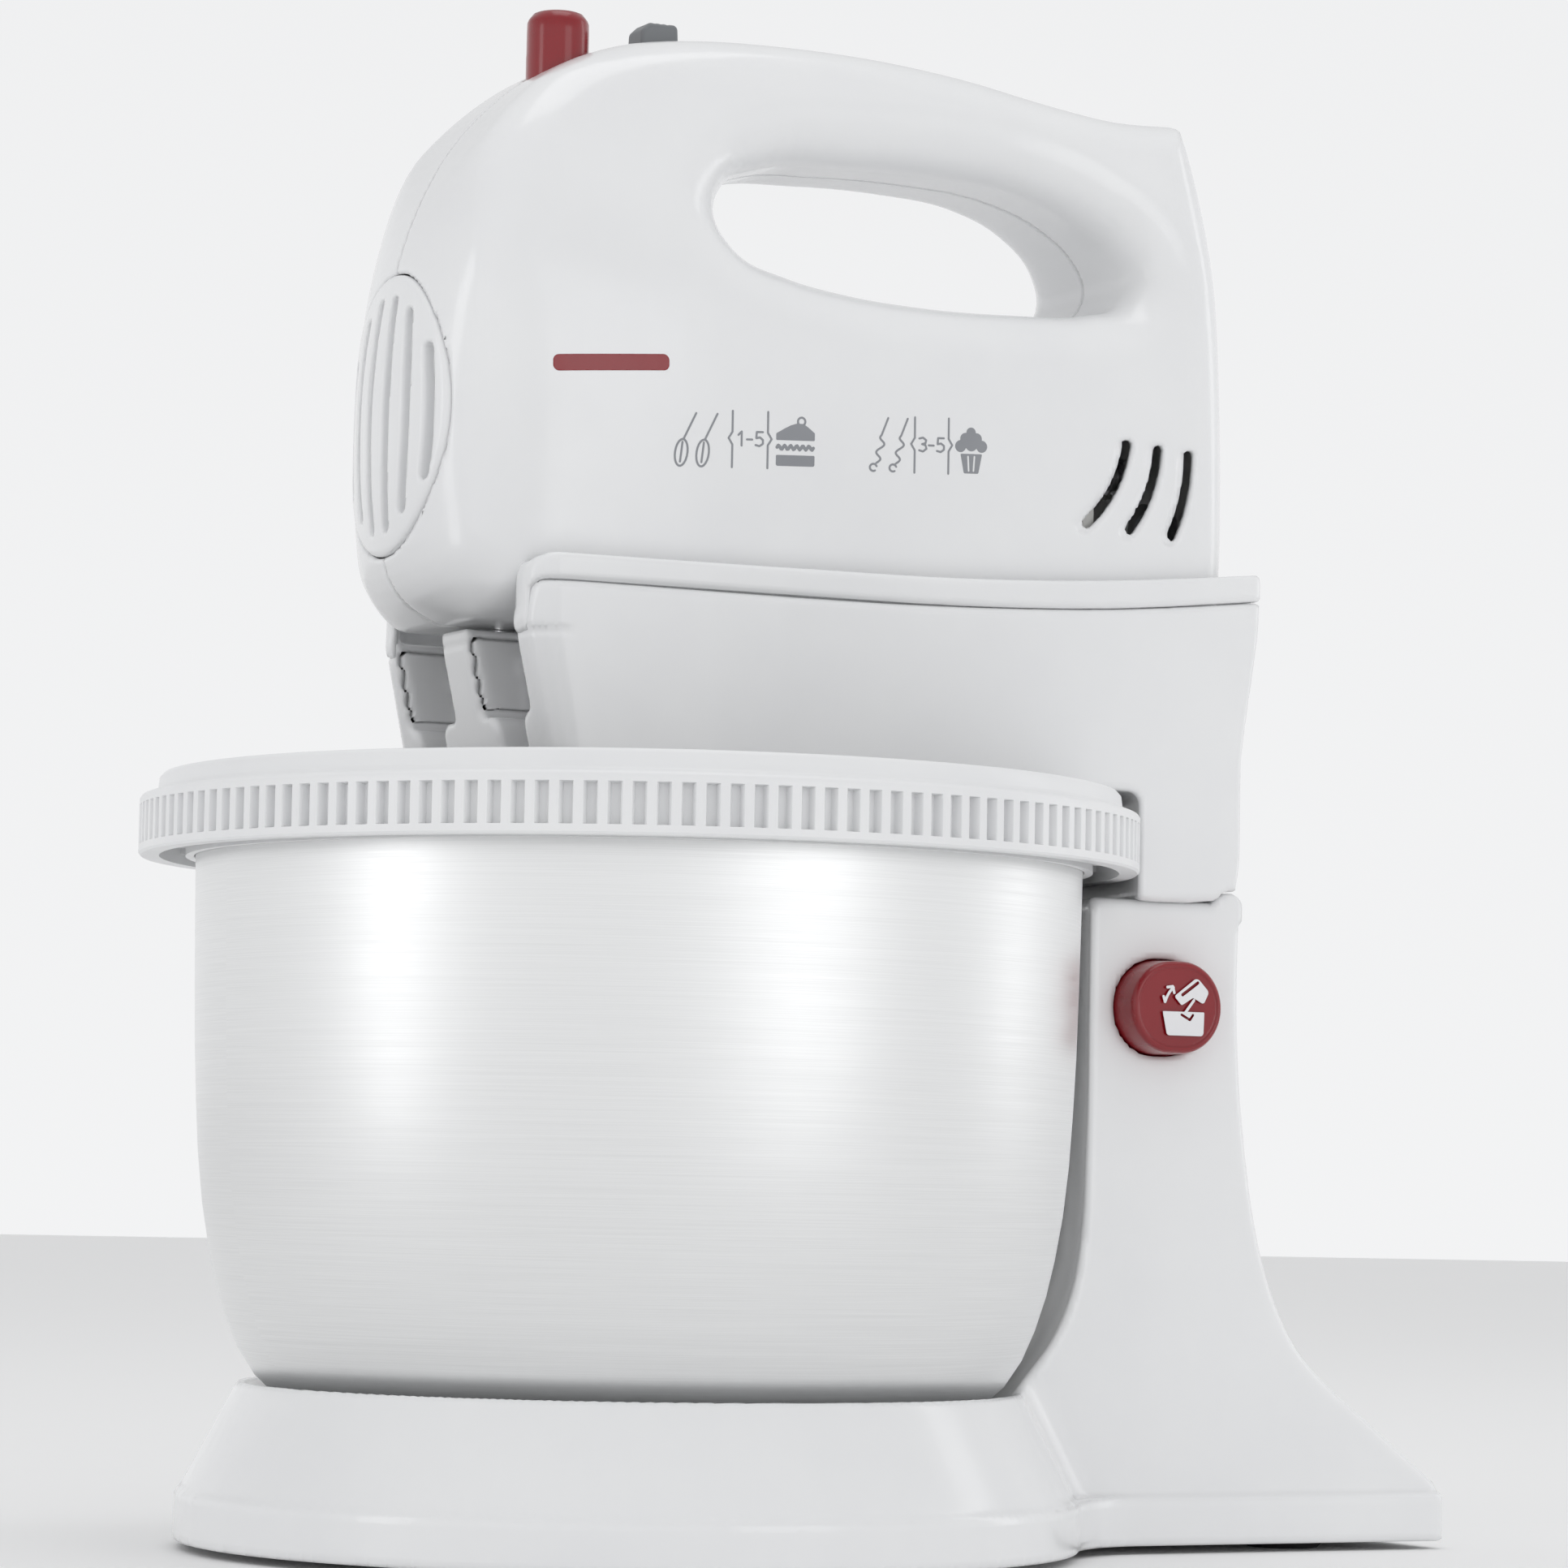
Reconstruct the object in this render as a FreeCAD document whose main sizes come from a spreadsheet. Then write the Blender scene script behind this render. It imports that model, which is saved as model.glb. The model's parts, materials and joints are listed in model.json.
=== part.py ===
import FreeCAD, Part
import math
import os
import re
import Sketcher
from FreeCAD import Rotation, Vector

# A hand mixer that rests in the tray of a tilting arm, over a bowl that turns on a stand.
# Millimetres. +Z is up, the nose points along -X, and the origin is on the table under the
# middle of the object. Every x given to a helper counts from the bowl's axis.

DOC = FreeCAD.newDocument("StandMixer")
SHEET = DOC.addObject("Spreadsheet::Sheet", "Size")

SIZES = [
    # general
    ("wall", 2.6, "moulded wall"),
    ("gap", 0.3, "clearance between neighbours"),
    ("running", 0.05, "radial clearance of a running fit"),
    # bowl
    ("ring_r", 111, "gear ring over its ribs"),
    ("ring_low", 151, "underside of the gear ring"),
    ("ring_high", 164, "top of the toothed band"),
    ("lip_r", 107, "top lip of the gear ring"),
    ("lip_high", 169, "top of the gear ring"),
    ("ring_teeth", 140, "grooves round the ring"),
    ("groove_deep", 2.6, "depth of a groove"),
    ("rib_wide", 1.4, "width of a rib between grooves"),
    ("bowl_r", 98.5, "outside of the bowl at its rim"),
    ("bowl_wall", 1.2, "sheet of the bowl"),
    ("bowl_low", 25, "underside of the bowl"),
    # base
    ("deck_r", 86, "platform rim"),
    ("deck_high", 36.5, "top of the platform rim"),
    ("skirt_r", 99.5, "bottom edge of the base"),
    ("skirt_low", 1.5, "bottom edge above the table"),
    ("brow_r", 98.5, "top of the skirt"),
    ("brow_high", 12.7, "height of the top of the skirt"),
    ("tail_end", 192.5, "rear end of the base"),
    ("dish_low", 20, "floor of the dish under the bowl"),
    ("foot_r", 9, "rubber foot"),
    ("pivot_r", 4, "pin that the bowl turns on"),
    # column and hinge
    ("column_half", 36, "half width of the column"),
    ("column_top", 147, "parting plane of column and arm"),
    ("column_back", 136, "rear face of the column"),
    ("column_front", 102, "hollow of the column round the bowl"),
    ("hinge_out", 132, "hinge axis from the bowl's axis"),
    ("hinge_up", 145, "hinge axis above the table"),
    ("pin_r", 2.5, "hinge pin"),
    ("knuckle_r", 4.2, "hinge knuckle"),
    ("ear_in", 30, "inner face of the column's hinge ears"),
    # arm
    ("arm_front", -47, "front edge of the arm"),
    ("arm_low", 171, "underside of the arm over the bowl"),
    ("arm_half", 42.5, "half width of the arm at its front"),
    ("arm_back", 140.5, "rear edge of the tray"),
    ("tray_low", 201, "floor of the tray"),
    ("tray_front", 213, "tray edge at the front"),
    ("tray_back", 221, "tray edge at the back"),
    ("rim_high", 6.6, "height of the tray rim"),
    ("slot_in", 7, "inner side of a whisk slot"),
    ("slot_out", 32, "outer side of a whisk slot"),
    ("slot_end", -8, "closed end of a whisk slot"),
    ("ring_room", 2.4, "arm's hollow outside the gear ring"),
    # hand mixer
    ("nose", -66, "front of the hand mixer"),
    ("tail", 136, "rear of the hand mixer"),
    ("top", 339, "top of the handle"),
    ("mixer_half", 40, "half width of the hand mixer"),
    ("grip_half", 19, "half width of the handle"),
    ("hole_front", 8, "front of the finger gap"),
    ("hole_back", 106, "back of the finger gap"),
    ("hole_low", 279, "underside of the finger gap"),
    ("hole_high", 310.6, "top of the finger gap"),
    ("motor_up", 248, "motor axis above the table"),
    ("shaft_r", 3, "motor and spindle shafts"),
    ("spindle_out", -25, "whisk spindles from the bowl's axis"),
    ("spindle_half", 20, "half the distance between spindles"),
    ("whisk_r", 18, "radius of a whisk"),
    ("whisk_low", 45, "bottom of a whisk"),
    ("wire_r", 1.1, "whisk wire"),
    ("worm_over", 1.7, "front worm's tips over the shaft"),
    ("takeoff_over", 1.3, "rear worm's tips over the shaft"),
    ("takeoff_side", 15, "take-off axis beside the motor axis"),
    ("sleeve_r", 6, "sleeve of a whisk spindle"),
    ("bearing_r", 8, "rotor bearings outside"),
    ("stator_r", 26, "motor stator"),
    ("armature_r", 14, "armature"),
    ("air_gap", 0.6, "between armature and stator"),
    ("bush_r", 6.5, "bush of the drive shaft"),
    ("bearing_wall", 1.2, "wall of a hinge bush"),
    ("screw_r", 1.5, "shank of a housing screw"),
    ("web_wide", 1.4, "webs inside the gear ring"),
    ("web_count", 28, "webs round the gear ring"),
    ("pinion_r", 9.9, "pinion over its teeth"),
    ("pinion_mesh", 2, "reach of the pinion's teeth into the grooves"),
    ("pinion_teeth", 12, "teeth of the pinion"),
    # controls
    ("eject_out", -24.5, "eject button from the bowl's axis"),
    ("eject_r", 7, "eject button"),
    ("eject_high", 341, "top of the eject button"),
    ("eject_travel", 5, "travel of the eject button"),
    ("slider_long", 9, "speed slider"),
    ("slider_travel", 20, "travel of the speed slider"),
    ("release_out", 114, "release button from the bowl's axis"),
    ("release_up", 122.5, "release button above the table"),
    ("release_wide", 24, "release button across"),
    ("release_high", 21.3, "height of the release button"),
    ("release_proud", 8, "release button outside the column"),
    ("release_travel", 4, "travel of the release button"),
]
ALIASES = {alias for alias, _, _ in SIZES}
BOWL_ROOM = "(ring_r + ring_room)"
PINION_REACH = "(ring_r + pinion_r - pinion_mesh)"
WORM = "(shaft_r + worm_over)"
TAKEOFF_WORM = "(shaft_r + takeoff_over)"
for row, (alias, value, note) in enumerate(SIZES, start=1):
    SHEET.set(f"A{row}", alias)
    SHEET.set(f"B{row}", str(value))
    SHEET.setAlias(f"B{row}", alias)
    SHEET.set(f"C{row}", note)
DOC.recompute()

NODES = {}
CENTRE = "(ring_r - tail_end) / 2"


def formula(text):
    """An expression in the sheet's names, as FreeCAD reads it."""
    words = re.compile(r"[a-z]+(?:_[a-z]+)*")
    return words.sub(lambda w: "Size." + w.group() if w.group() in ALIASES else w.group(), str(text))


def number(text):
    """The value now of an expression in the sheet's names."""
    found = SHEET.evalExpression(formula(text))
    return float(getattr(found, "Value", found))


def bind(piece, **sizes):
    for name, text in sizes.items():
        piece.setExpression(name.replace("__", "."), formula(text))
    return piece


def place(piece, x=0, y=0, z=0):
    """Puts a piece at x from the bowl's axis, y and z."""
    return bind(piece, Placement__Base__x=f"{x} + {CENTRE}", Placement__Base__y=y, Placement__Base__z=z)


def node(name, piece):
    """Says that a piece is a node of the object, and so a file."""
    piece.Label = name
    NODES[name] = piece
    return piece


# ---- primitives and booleans -------------------------------------------------------------

TURNS = {
    "x": Rotation(Vector(0, 1, 0), 90),
    "y": Rotation(Vector(1, 0, 0), -90),
    "z": Rotation(),
}


def cylinder(name, radius, length, x=0, y=0, z=0, along="z"):
    piece = DOC.addObject("Part::Cylinder", name)
    piece.Placement.Rotation = TURNS[along]
    bind(piece, Radius=radius, Height=length)
    return place(piece, x, y, z)


def cone(name, low, high, length, x=0, y=0, z=0, along="z"):
    piece = DOC.addObject("Part::Cone", name)
    piece.Placement.Rotation = TURNS[along]
    bind(piece, Radius1=low, Radius2=high, Height=length)
    return place(piece, x, y, z)


def box(name, x, y, z, long, wide, high):
    """A box from x, centred across y, from z up."""
    piece = DOC.addObject("Part::Box", name)
    bind(piece, Length=long, Width=wide, Height=high)
    return place(piece, x, f"{y} - ({wide}) / 2", z)


def fuse(name, *pieces):
    joined = DOC.addObject("Part::MultiFuse", name)
    joined.Shapes = list(pieces)
    joined.Refine = True
    return joined


def shared(name, *pieces):
    common = DOC.addObject("Part::MultiCommon", name)
    common.Shapes = list(pieces)
    return common


def cut(name, base, *tools):
    """Base less every tool."""
    piece = DOC.addObject("Part::Cut", name)
    piece.Base = base
    piece.Tool = tools[0] if len(tools) == 1 else group(name + "_tools", *tools)
    return piece


def group(name, *pieces):
    together = DOC.addObject("Part::Compound", name)
    together.Links = list(pieces)
    return together


def tube(name, inner, outer, length, x=0, y=0, z=0, along="z"):
    shell = cylinder(name + "_outside", outer, length, x, y, z, along)
    bore = cylinder(name + "_bore", inner, length, x, y, z, along)
    return cut(name, shell, bore)


def formed(name, shape):
    """A form that needs Part's own functions: the shape counts x from the bowl's axis."""
    piece = DOC.addObject("Part::Feature", name)
    piece.Shape = shape
    piece.Placement = FreeCAD.Placement(Vector(number(CENTRE), 0, 0), Rotation()).multiply(shape.Placement)
    return piece


# ---- sketched bodies ---------------------------------------------------------------------


def sketched(name, plane, points):
    """A body with one closed sketch of straight edges, its corners held by the sheet."""
    body = DOC.addObject("PartDesign::Body", name)
    sketch = body.newObject("Sketcher::SketchObject", name + "_sketch")
    origin = next(f for f in body.Origin.OriginFeatures if f.Role == plane)
    sketch.AttachmentSupport = [(origin, "")]
    sketch.MapMode = "FlatFace"
    corners = [Vector(number(across), number(up), 0) for across, up in points]
    count = len(points)
    for i in range(count):
        sketch.addGeometry(Part.LineSegment(corners[i], corners[(i + 1) % count]), False)
    for i in range(count):
        sketch.addConstraint(Sketcher.Constraint("Coincident", i, 2, (i + 1) % count, 1))
    for i, texts in enumerate(points):
        for axis, kind, text, value in zip((-2, -1), ("DistanceX", "DistanceY"), texts, corners[i]):
            if text == 0:
                sketch.addConstraint(Sketcher.Constraint("PointOnObject", i, 1, axis))
            else:
                at = sketch.addConstraint(Sketcher.Constraint(kind, -1, 1, i, 1, value))
                sketch.setExpression(f"Constraints[{at}]", formula(text))
    return body, sketch


def lathe(name, points):
    """A body turned round the bowl's axis from (radius, height) corners."""
    body, sketch = sketched(name, "XZ_Plane", points)
    turn = body.newObject("PartDesign::Revolution", name + "_turn")
    turn.Profile = sketch
    turn.ReferenceAxis = (sketch, ["V_Axis"])
    turn.Angle = 360
    return place(body)


def slab(name, points, wide):
    """A body from (x, z) corners, thickened evenly to both sides of the middle plane."""
    body, sketch = sketched(name, "XZ_Plane", points)
    pad = body.newObject("PartDesign::Pad", name + "_pad")
    pad.Profile = sketch
    pad.Midplane = True
    bind(pad, Length=wide)
    return place(body)


def plate(name, points, high, z=0):
    """A body from (x, y) corners, thickened upwards from z."""
    body, sketch = sketched(name, "XY_Plane", points)
    pad = body.newObject("PartDesign::Pad", name + "_pad")
    pad.Profile = sketch
    bind(pad, Length=high)
    return place(body, z=z)


# ---- stand -------------------------------------------------------------------------------


def column_outline(inset):
    """Side view of the column and tail, drawn in by inset all round."""
    return [
        ("deck_r - 26", f"skirt_low - {inset}"),
        (f"tail_end - {inset}", f"skirt_low - {inset}"),
        (f"tail_end - {inset}", f"brow_high - {inset}"),
        (f"tail_end - 2.5 - {inset}", f"brow_high + 3.3 - {inset}"),
        (f"column_back + 33 - {inset}", f"brow_high + 18.3 - {inset}"),
        (f"column_back + 17 - {inset}", f"brow_high + 32.3 - {inset}"),
        (f"column_back + 12 - {inset}", f"brow_high + 40.3 - {inset}"),
        (f"column_back + 6 - {inset}", f"brow_high + 57.3 - {inset}"),
        (f"column_back + 1.5 - {inset}", "column_top - 48"),
        (f"column_back - {inset}", "column_top - 27"),
        (f"column_back - {inset}", f"column_top - {inset}"),
        ("deck_r - 26", f"column_top - {inset}"),
    ]


def bowl_hollow(name, grow):
    """The room that column and base leave round the bowl."""
    return lathe(name, [
        (0, f"deck_high - {grow}"),
        (f"deck_r - 1 + {grow}", f"deck_high - {grow}"),
        (f"column_front - 8 + {grow}", f"deck_high + 9.5 - {grow}"),
        (f"column_front - 2 + {grow}", f"deck_high + 26.5 - {grow}"),
        (f"column_front + {grow}", f"deck_high + 53 - {grow}"),
        (f"column_front + {grow}", "column_top + 1"),
        (0, "column_top + 1"),
    ])


def base_shell():
    deck = lathe("deck", [
        (0, "skirt_low"),
        ("skirt_r", "skirt_low"),
        ("brow_r", "brow_high"),
        ("deck_r", "deck_high"),
        (0, "deck_high"),
    ])
    mast = cut("mast", slab("mast_block", column_outline("0"), "2 * column_half"), bowl_hollow("mast_room", "0"))
    dish = lathe("dish", [
        (0, "dish_low"),
        ("deck_r - 24", "dish_low"),
        ("deck_r - 14", "dish_low + 4"),
        ("deck_r - 2", "deck_high + 1"),
        (0, "deck_high + 1"),
    ])
    under = lathe("under_deck", [
        (0, "skirt_low - 1"),
        ("skirt_r - wall", "skirt_low - 1"),
        ("brow_r - wall", "brow_high - 1"),
        ("deck_r - wall", "deck_high - wall - 2"),
        ("deck_r - 2 - wall", "deck_high - wall - 2"),
        ("deck_r - 13", "dish_low + 1.5 - wall / 2"),
        ("deck_r - 22", "dish_low - wall"),
        (0, "dish_low - wall"),
    ])
    hollow = cut(
        "mast_hollow",
        slab("mast_core", column_outline("wall"), "2 * (column_half - wall)"),
        bowl_hollow("mast_front_wall", "wall"),
    )
    well = lathe("dish_wall", [
        (0, "dish_low - wall"),
        ("deck_r - 22", "dish_low - wall"),
        ("deck_r - 13", "dish_low + 1.5 - wall / 2"),
        ("deck_r - 2 - wall", "deck_high - wall - 2"),
        ("deck_r - wall", "deck_high - wall - 2"),
        ("deck_r - wall", "deck_high - wall"),
        (0, "deck_high - wall"),
    ])
    core = cut("mast_hollow_clear", hollow, well)
    relief = cylinder(
        "hinge_relief", "knuckle_r + gap + 0.1", "2 * (ear_in - gap)", "hinge_out", "-(ear_in - gap)", "hinge_up", "y"
    )
    ears = [
        cylinder(f"ear_{side}", "knuckle_r", "column_half - ear_in", "hinge_out", start, "hinge_up", "y")
        for side, start in (("left", "-column_half"), ("right", "ear_in"))
    ]
    pin_hole = cylinder("pin_hole", "pin_r + 0.02", "2 * column_half", "hinge_out", "-column_half", "hinge_up", "y")
    button_hole = release_prism("button_hole", "gap", "-column_half - 1", "wall + 2")
    latch_slot = box(
        "latch_slot", "release_out + 4 - gap", LATCH_SIDE, "column_top - wall - 1", "7.6", "12 + 2 * gap", "wall + 2"
    )
    pivot_hole = cylinder("pivot_hole", "pivot_r", "wall + 2", 0, 0, "dish_low - wall - 1")
    screw_holes = [
        cylinder(f"screw_bore_{i}", "screw_r + 0.1", "9", x, y, "3") for i, (x, y) in enumerate(SCREW_SPOTS)
    ]
    posts = [
        cylinder(f"screw_post_{i}", "4", "dish_low - 3.8", x, y, "5.3") for i, (x, y) in enumerate(SCREW_SPOTS)
    ]
    whole = cut(
        "base_cored", fuse("base_solid", deck, mast), dish, under, core, relief, button_hole, latch_slot, pivot_hole
    )
    return node("base_shell", cut("base_shell", fuse("base_eared", whole, *ears, *posts), pin_hole, *screw_holes))


def release_prism(name, grow, y, long):
    """A prism of the release button's outline: two half circles and a straight between."""
    low = "release_high / 2"
    half = "(release_wide - release_high) / 2"
    ends = [
        cylinder(f"{name}_{side}", f"{low} + {grow}", long, f"release_out {sign} {half}", y, "release_up", "y")
        for side, sign in (("front", "-"), ("rear", "+"))
    ]
    middle = DOC.addObject("Part::Box", name + "_middle")
    bind(middle, Length=f"2 * {half}", Width=long, Height=f"2 * ({low} + {grow})")
    place(middle, f"release_out - {half}", y, f"release_up - {low} - {grow}")
    return fuse(name, *ends, middle)


LATCH_SIDE = "-14"
SCREW_SPOTS = [
    ("-72", "0"),
    ("0", "-74"),
    ("0", "74"),
    ("tail_end - 18", "-24"),
    ("tail_end - 18", "24"),
]
FOOT_SPOTS = [
    ("-56", "-56"),
    ("-56", "56"),
    ("tail_end - 34", "-20"),
    ("tail_end - 34", "20"),
]


def base_plate():
    round_part = cylinder("plate_round", "skirt_r - wall - gap - 0.3", "1.8", 0, 0, "3.2")
    tail_part = box(
        "plate_tail", "deck_r - 20", 0, "3.2", "tail_end - wall - gap - deck_r + 20",
        "2 * (column_half - wall - gap)", "1.8",
    )
    holes = [cylinder(f"plate_hole_{i}", "screw_r + 0.2", "3", x, y, "2.8") for i, (x, y) in enumerate(SCREW_SPOTS)]
    return node("base_plate", cut("base_plate", fuse("plate_solid", round_part, tail_part), *holes))


def feet():
    pads = [
        fuse(
            f"foot_{i}",
            cone(f"foot_tread_{i}", "foot_r - 1", "foot_r", "1", x, y, "0"),
            cylinder(f"foot_pad_{i}", "foot_r", "2.2", x, y, "1"),
        )
        for i, (x, y) in enumerate(FOOT_SPOTS)
    ]
    return node("rubber_feet", group("rubber_feet", *pads))


def screws(name, spots, radius, length, head_r, head, head_high="2"):
    """Screws pointing up: heads from head, shanks above."""
    pieces = [
        fuse(
            f"{name}_{i}",
            cylinder(f"{name}_shank_{i}", radius, length, x, y, f"{head} + {head_high}"),
            cylinder(f"{name}_head_{i}", head_r, head_high, x, y, head),
        )
        for i, (x, y) in enumerate(spots)
    ]
    return node(name, group(name, *pieces))


def stand_hardware():
    screws("base_screws", SCREW_SPOTS, "screw_r", "8", "3", "1.6", "1.6")
    pin = cylinder("hinge_pin", "pin_r", "2 * column_half - 2", "hinge_out", "-column_half + 1", "hinge_up", "y")
    node("hinge_pin", pin)
    pivot = fuse(
        "bowl_pivot",
        cylinder("pivot_post", "pivot_r", "bowl_low - dish_low + wall - 1", 0, 0, "dish_low - wall"),
        cylinder("pivot_flange", "pivot_r + 5", "1.5", 0, 0, "dish_low - wall - 1.5"),
    )
    node("bowl_pivot", pivot)


def spring(radius, wire, turns, length):
    """A coil spring of whole turns along +Z from the origin, its round wire swept as a twelve-sided section."""
    pitch = (length - 2 * wire) / turns
    edges = []
    for turn in range(turns):
        edge = Part.makeHelix(pitch, pitch, radius)
        edge.translate(Vector(0, 0, pitch * turn))
        edges += edge.Edges
    corners = []
    for side in range(12):
        angle = math.radians(30 * side)
        corners.append(Vector(radius + wire * math.cos(angle), 0, wire * math.sin(angle)))
    section = Part.makePolygon(corners + corners[:1])
    coil = Part.Wire(edges).makePipeShell([section], True, True)
    coil.translate(Vector(0, 0, wire))
    return coil


def release():
    reach = "release_proud + release_travel + wall + 1"
    cap = release_prism("button_cap", "0", "-column_half - release_proud", reach)
    flange = release_prism("button_flange", "0.8", "-column_half + wall + gap", "2")
    button = fuse("release_button", cap, flange)
    node("release_button", button)
    guide = box("release_seat", "release_out - 7", "-10.5", "release_up - 9", "14", "3", "18")
    rail = box(
        "release_rail", "release_out - 7", "(column_half - wall - gap - 12) / 2", "release_up - 12", "14",
        "column_half - wall - gap + 12", "3",
    )
    node("release_bracket", fuse("release_bracket", guide, rail))
    coil = spring(4.6, 0.55, 4, 11.5)
    coil.rotate(Vector(), Vector(1, 0, 0), 90)
    coil.translate(Vector(number("release_out"), -12.3, number("release_up")))
    node("release_spring", formed("release_spring", coil))
    foot_up = "release_up + 12.5"
    blade = box("latch_blade", "release_out + 4", LATCH_SIDE, foot_up, "4", "12", f"column_top + 6 - ({foot_up})")
    hook = box("latch_hook", "release_out + 2.6", LATCH_SIDE, "column_top + 3.5", "1.6", "12", "2.5")
    foot = box("latch_foot", "release_out - 4", f"{LATCH_SIDE} + 3", foot_up, "12", "18", "2.5")
    node("tilt_latch", fuse("tilt_latch", blade, hook, foot))
    front = "column_front + wall + gap + 0.1"
    ledge = box(
        "latch_ledge", front, "(column_half - wall - gap - 20) / 2", f"{foot_up} - 2.9",
        f"release_out + 11 - ({front})", "column_half - wall - gap + 20", "2.6",
    )
    node("latch_guide", ledge)


# ---- bowl --------------------------------------------------------------------------------

BOWL_CURVE = [
    ("deck_r - 26", "bowl_low"),
    ("deck_r - 18", "bowl_low + 1.2"),
    ("deck_r - 10", "bowl_low + 5"),
    ("bowl_r - 16.5", "bowl_low + 11"),
    ("bowl_r - 10.7", "bowl_low + 23"),
    ("bowl_r - 5.5", "bowl_low + 38"),
    ("bowl_r - 3.1", "bowl_low + 50"),
    ("bowl_r - 2", "bowl_low + 61"),
    ("bowl_r - 1", "bowl_low + 85"),
    ("bowl_r", "ring_low + 12"),
]


def bowl_shell():
    inside = [(f"{r} - bowl_wall", f"{z} + bowl_wall * 0.9") for r, z in reversed(BOWL_CURVE[:-1])]
    rim = [("bowl_r - bowl_wall", "ring_low + 12")]
    outline = [(0, "bowl_low"), *BOWL_CURVE, *rim, *inside, (0, "bowl_low + bowl_wall * 0.9")]
    return node("bowl_shell", lathe("bowl_shell", outline))


def ribbed_band(outer, deep, teeth, rib, length, phase):
    """A ring's outside with grooves cut along it, as one extruded face less its bore."""
    pitch = 2 * math.pi / teeth
    half_rib = rib / 2 / outer
    points = []
    for i in range(teeth):
        middle = phase + (i + 0.5) * pitch
        for radius, angle in (
            (outer - deep, middle - half_rib),
            (outer, middle - half_rib * 0.8),
            (outer, middle + half_rib * 0.8),
            (outer - deep, middle + half_rib),
        ):
            points.append(Vector(radius * math.cos(angle), radius * math.sin(angle), 0))
    face = Part.Face(Part.makePolygon(points + points[:1]))
    return face.extrude(Vector(0, 0, length))


def pinion_bearing():
    """Angle round the bowl's axis at which the pinion meets the ring."""
    return math.asin(number("takeoff_side") / number(PINION_REACH))


def gear_ring():
    low = number("ring_low")
    high = number("ring_high")
    outer = number("ring_r")
    flange = 2
    ribs = ribbed_band(
        outer, number("groove_deep"), int(number("ring_teeth")), number("rib_wide"),
        high - low - 2 * flange, pinion_bearing(),
    )
    ribs.translate(Vector(0, 0, low + flange))
    inner = outer - number("groove_deep") - 2.2

    def annulus(small, large, bottom, top):
        disc = Part.makeCylinder(large, top - bottom, Vector(0, 0, bottom))
        return disc.cut(Part.makeCylinder(small, top - bottom + 2, Vector(0, 0, bottom - 1)))

    ribs = ribs.cut(Part.makeCylinder(inner, high, Vector()))
    bottom = annulus(inner, outer, low, low + flange)
    shoulder = annulus(inner, outer, high - flange, high)
    lip = annulus(number("bowl_r + 0.05"), number("lip_r"), high - flange, number("lip_high"))
    crown = annulus(
        number("bowl_r - bowl_wall - 1.5"), number("lip_r - 3"), number("ring_low + 12.05"), number("lip_high")
    )
    skirt = annulus(number("bowl_r + 0.05"), number("bowl_r + 2.2"), low, high)
    webs = []
    thick = number("web_wide")
    count = int(number("web_count"))
    start = number("bowl_r + 1.5")
    for i in range(count):
        web = Part.makeBox(inner - start, thick, high - low - 4, Vector(start, -thick / 2, low + 3))
        webs.append(web.rotated(Vector(), Vector(0, 0, 1), 360 / count * i))
    ring = bottom.multiFuse([ribs, shoulder, lip, crown, skirt, *webs]).removeSplitter()
    return node("gear_ring", formed("gear_ring", ring))


def bowl_hub():
    disc = lathe("hub_disc", [
        ("pivot_r + running", "dish_low + 0.4"),
        ("deck_r - 30", "dish_low + 0.4"),
        ("deck_r - 30", "bowl_low"),
        ("pivot_r + running", "bowl_low"),
    ])
    return node("bowl_hub", disc)


# ---- arm ---------------------------------------------------------------------------------


def arm_plan(name, inset, low, high, front="arm_front - 1", back="arm_back"):
    """Plan of the arm, narrower at the column, drawn in by inset."""
    side = [
        (f"{front}", f"arm_half - ({inset})"),
        ("30", f"arm_half - ({inset})"),
        ("80", f"arm_half - 2.5 - ({inset})"),
        ("110", f"arm_half - 4.8 - ({inset})"),
        (f"{back} - 9 - ({inset})", f"arm_half - 5.5 - ({inset})"),
        (f"{back} - ({inset})", f"arm_half - 13 - ({inset})"),
    ]
    far = [(x, f"-({y})") for x, y in side]
    return plate(name, far + side[::-1], f"{high} - ({low})", low)


def arm_outline():
    """Side view of the arm up to the foot of its rim."""
    return [
        ("arm_front + 7", "arm_low"),
        (f"{BOWL_ROOM} - 30", "arm_low"),
        (f"{BOWL_ROOM} - 30", "column_top + gap"),
        ("arm_back - 6", "column_top + gap"),
        ("arm_back - 6", "arm_low + 7"),
        ("arm_back - 4.5", "arm_low + 17"),
        ("arm_back - 1.8", "tray_low + 1"),
        ("arm_back", "tray_back - rim_high"),
        ("98", "tray_front + 3.3 - rim_high"),
        ("58", "tray_front + 1 - rim_high"),
        ("arm_front + 9", "tray_front - rim_high"),
        ("arm_front + 7", "tray_low - 3"),
        ("arm_front + 1.5", "tray_low - 5"),
    ]


def takeoff_x():
    return f"sqrt({PINION_REACH} * {PINION_REACH} - takeoff_side * takeoff_side)"


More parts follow.
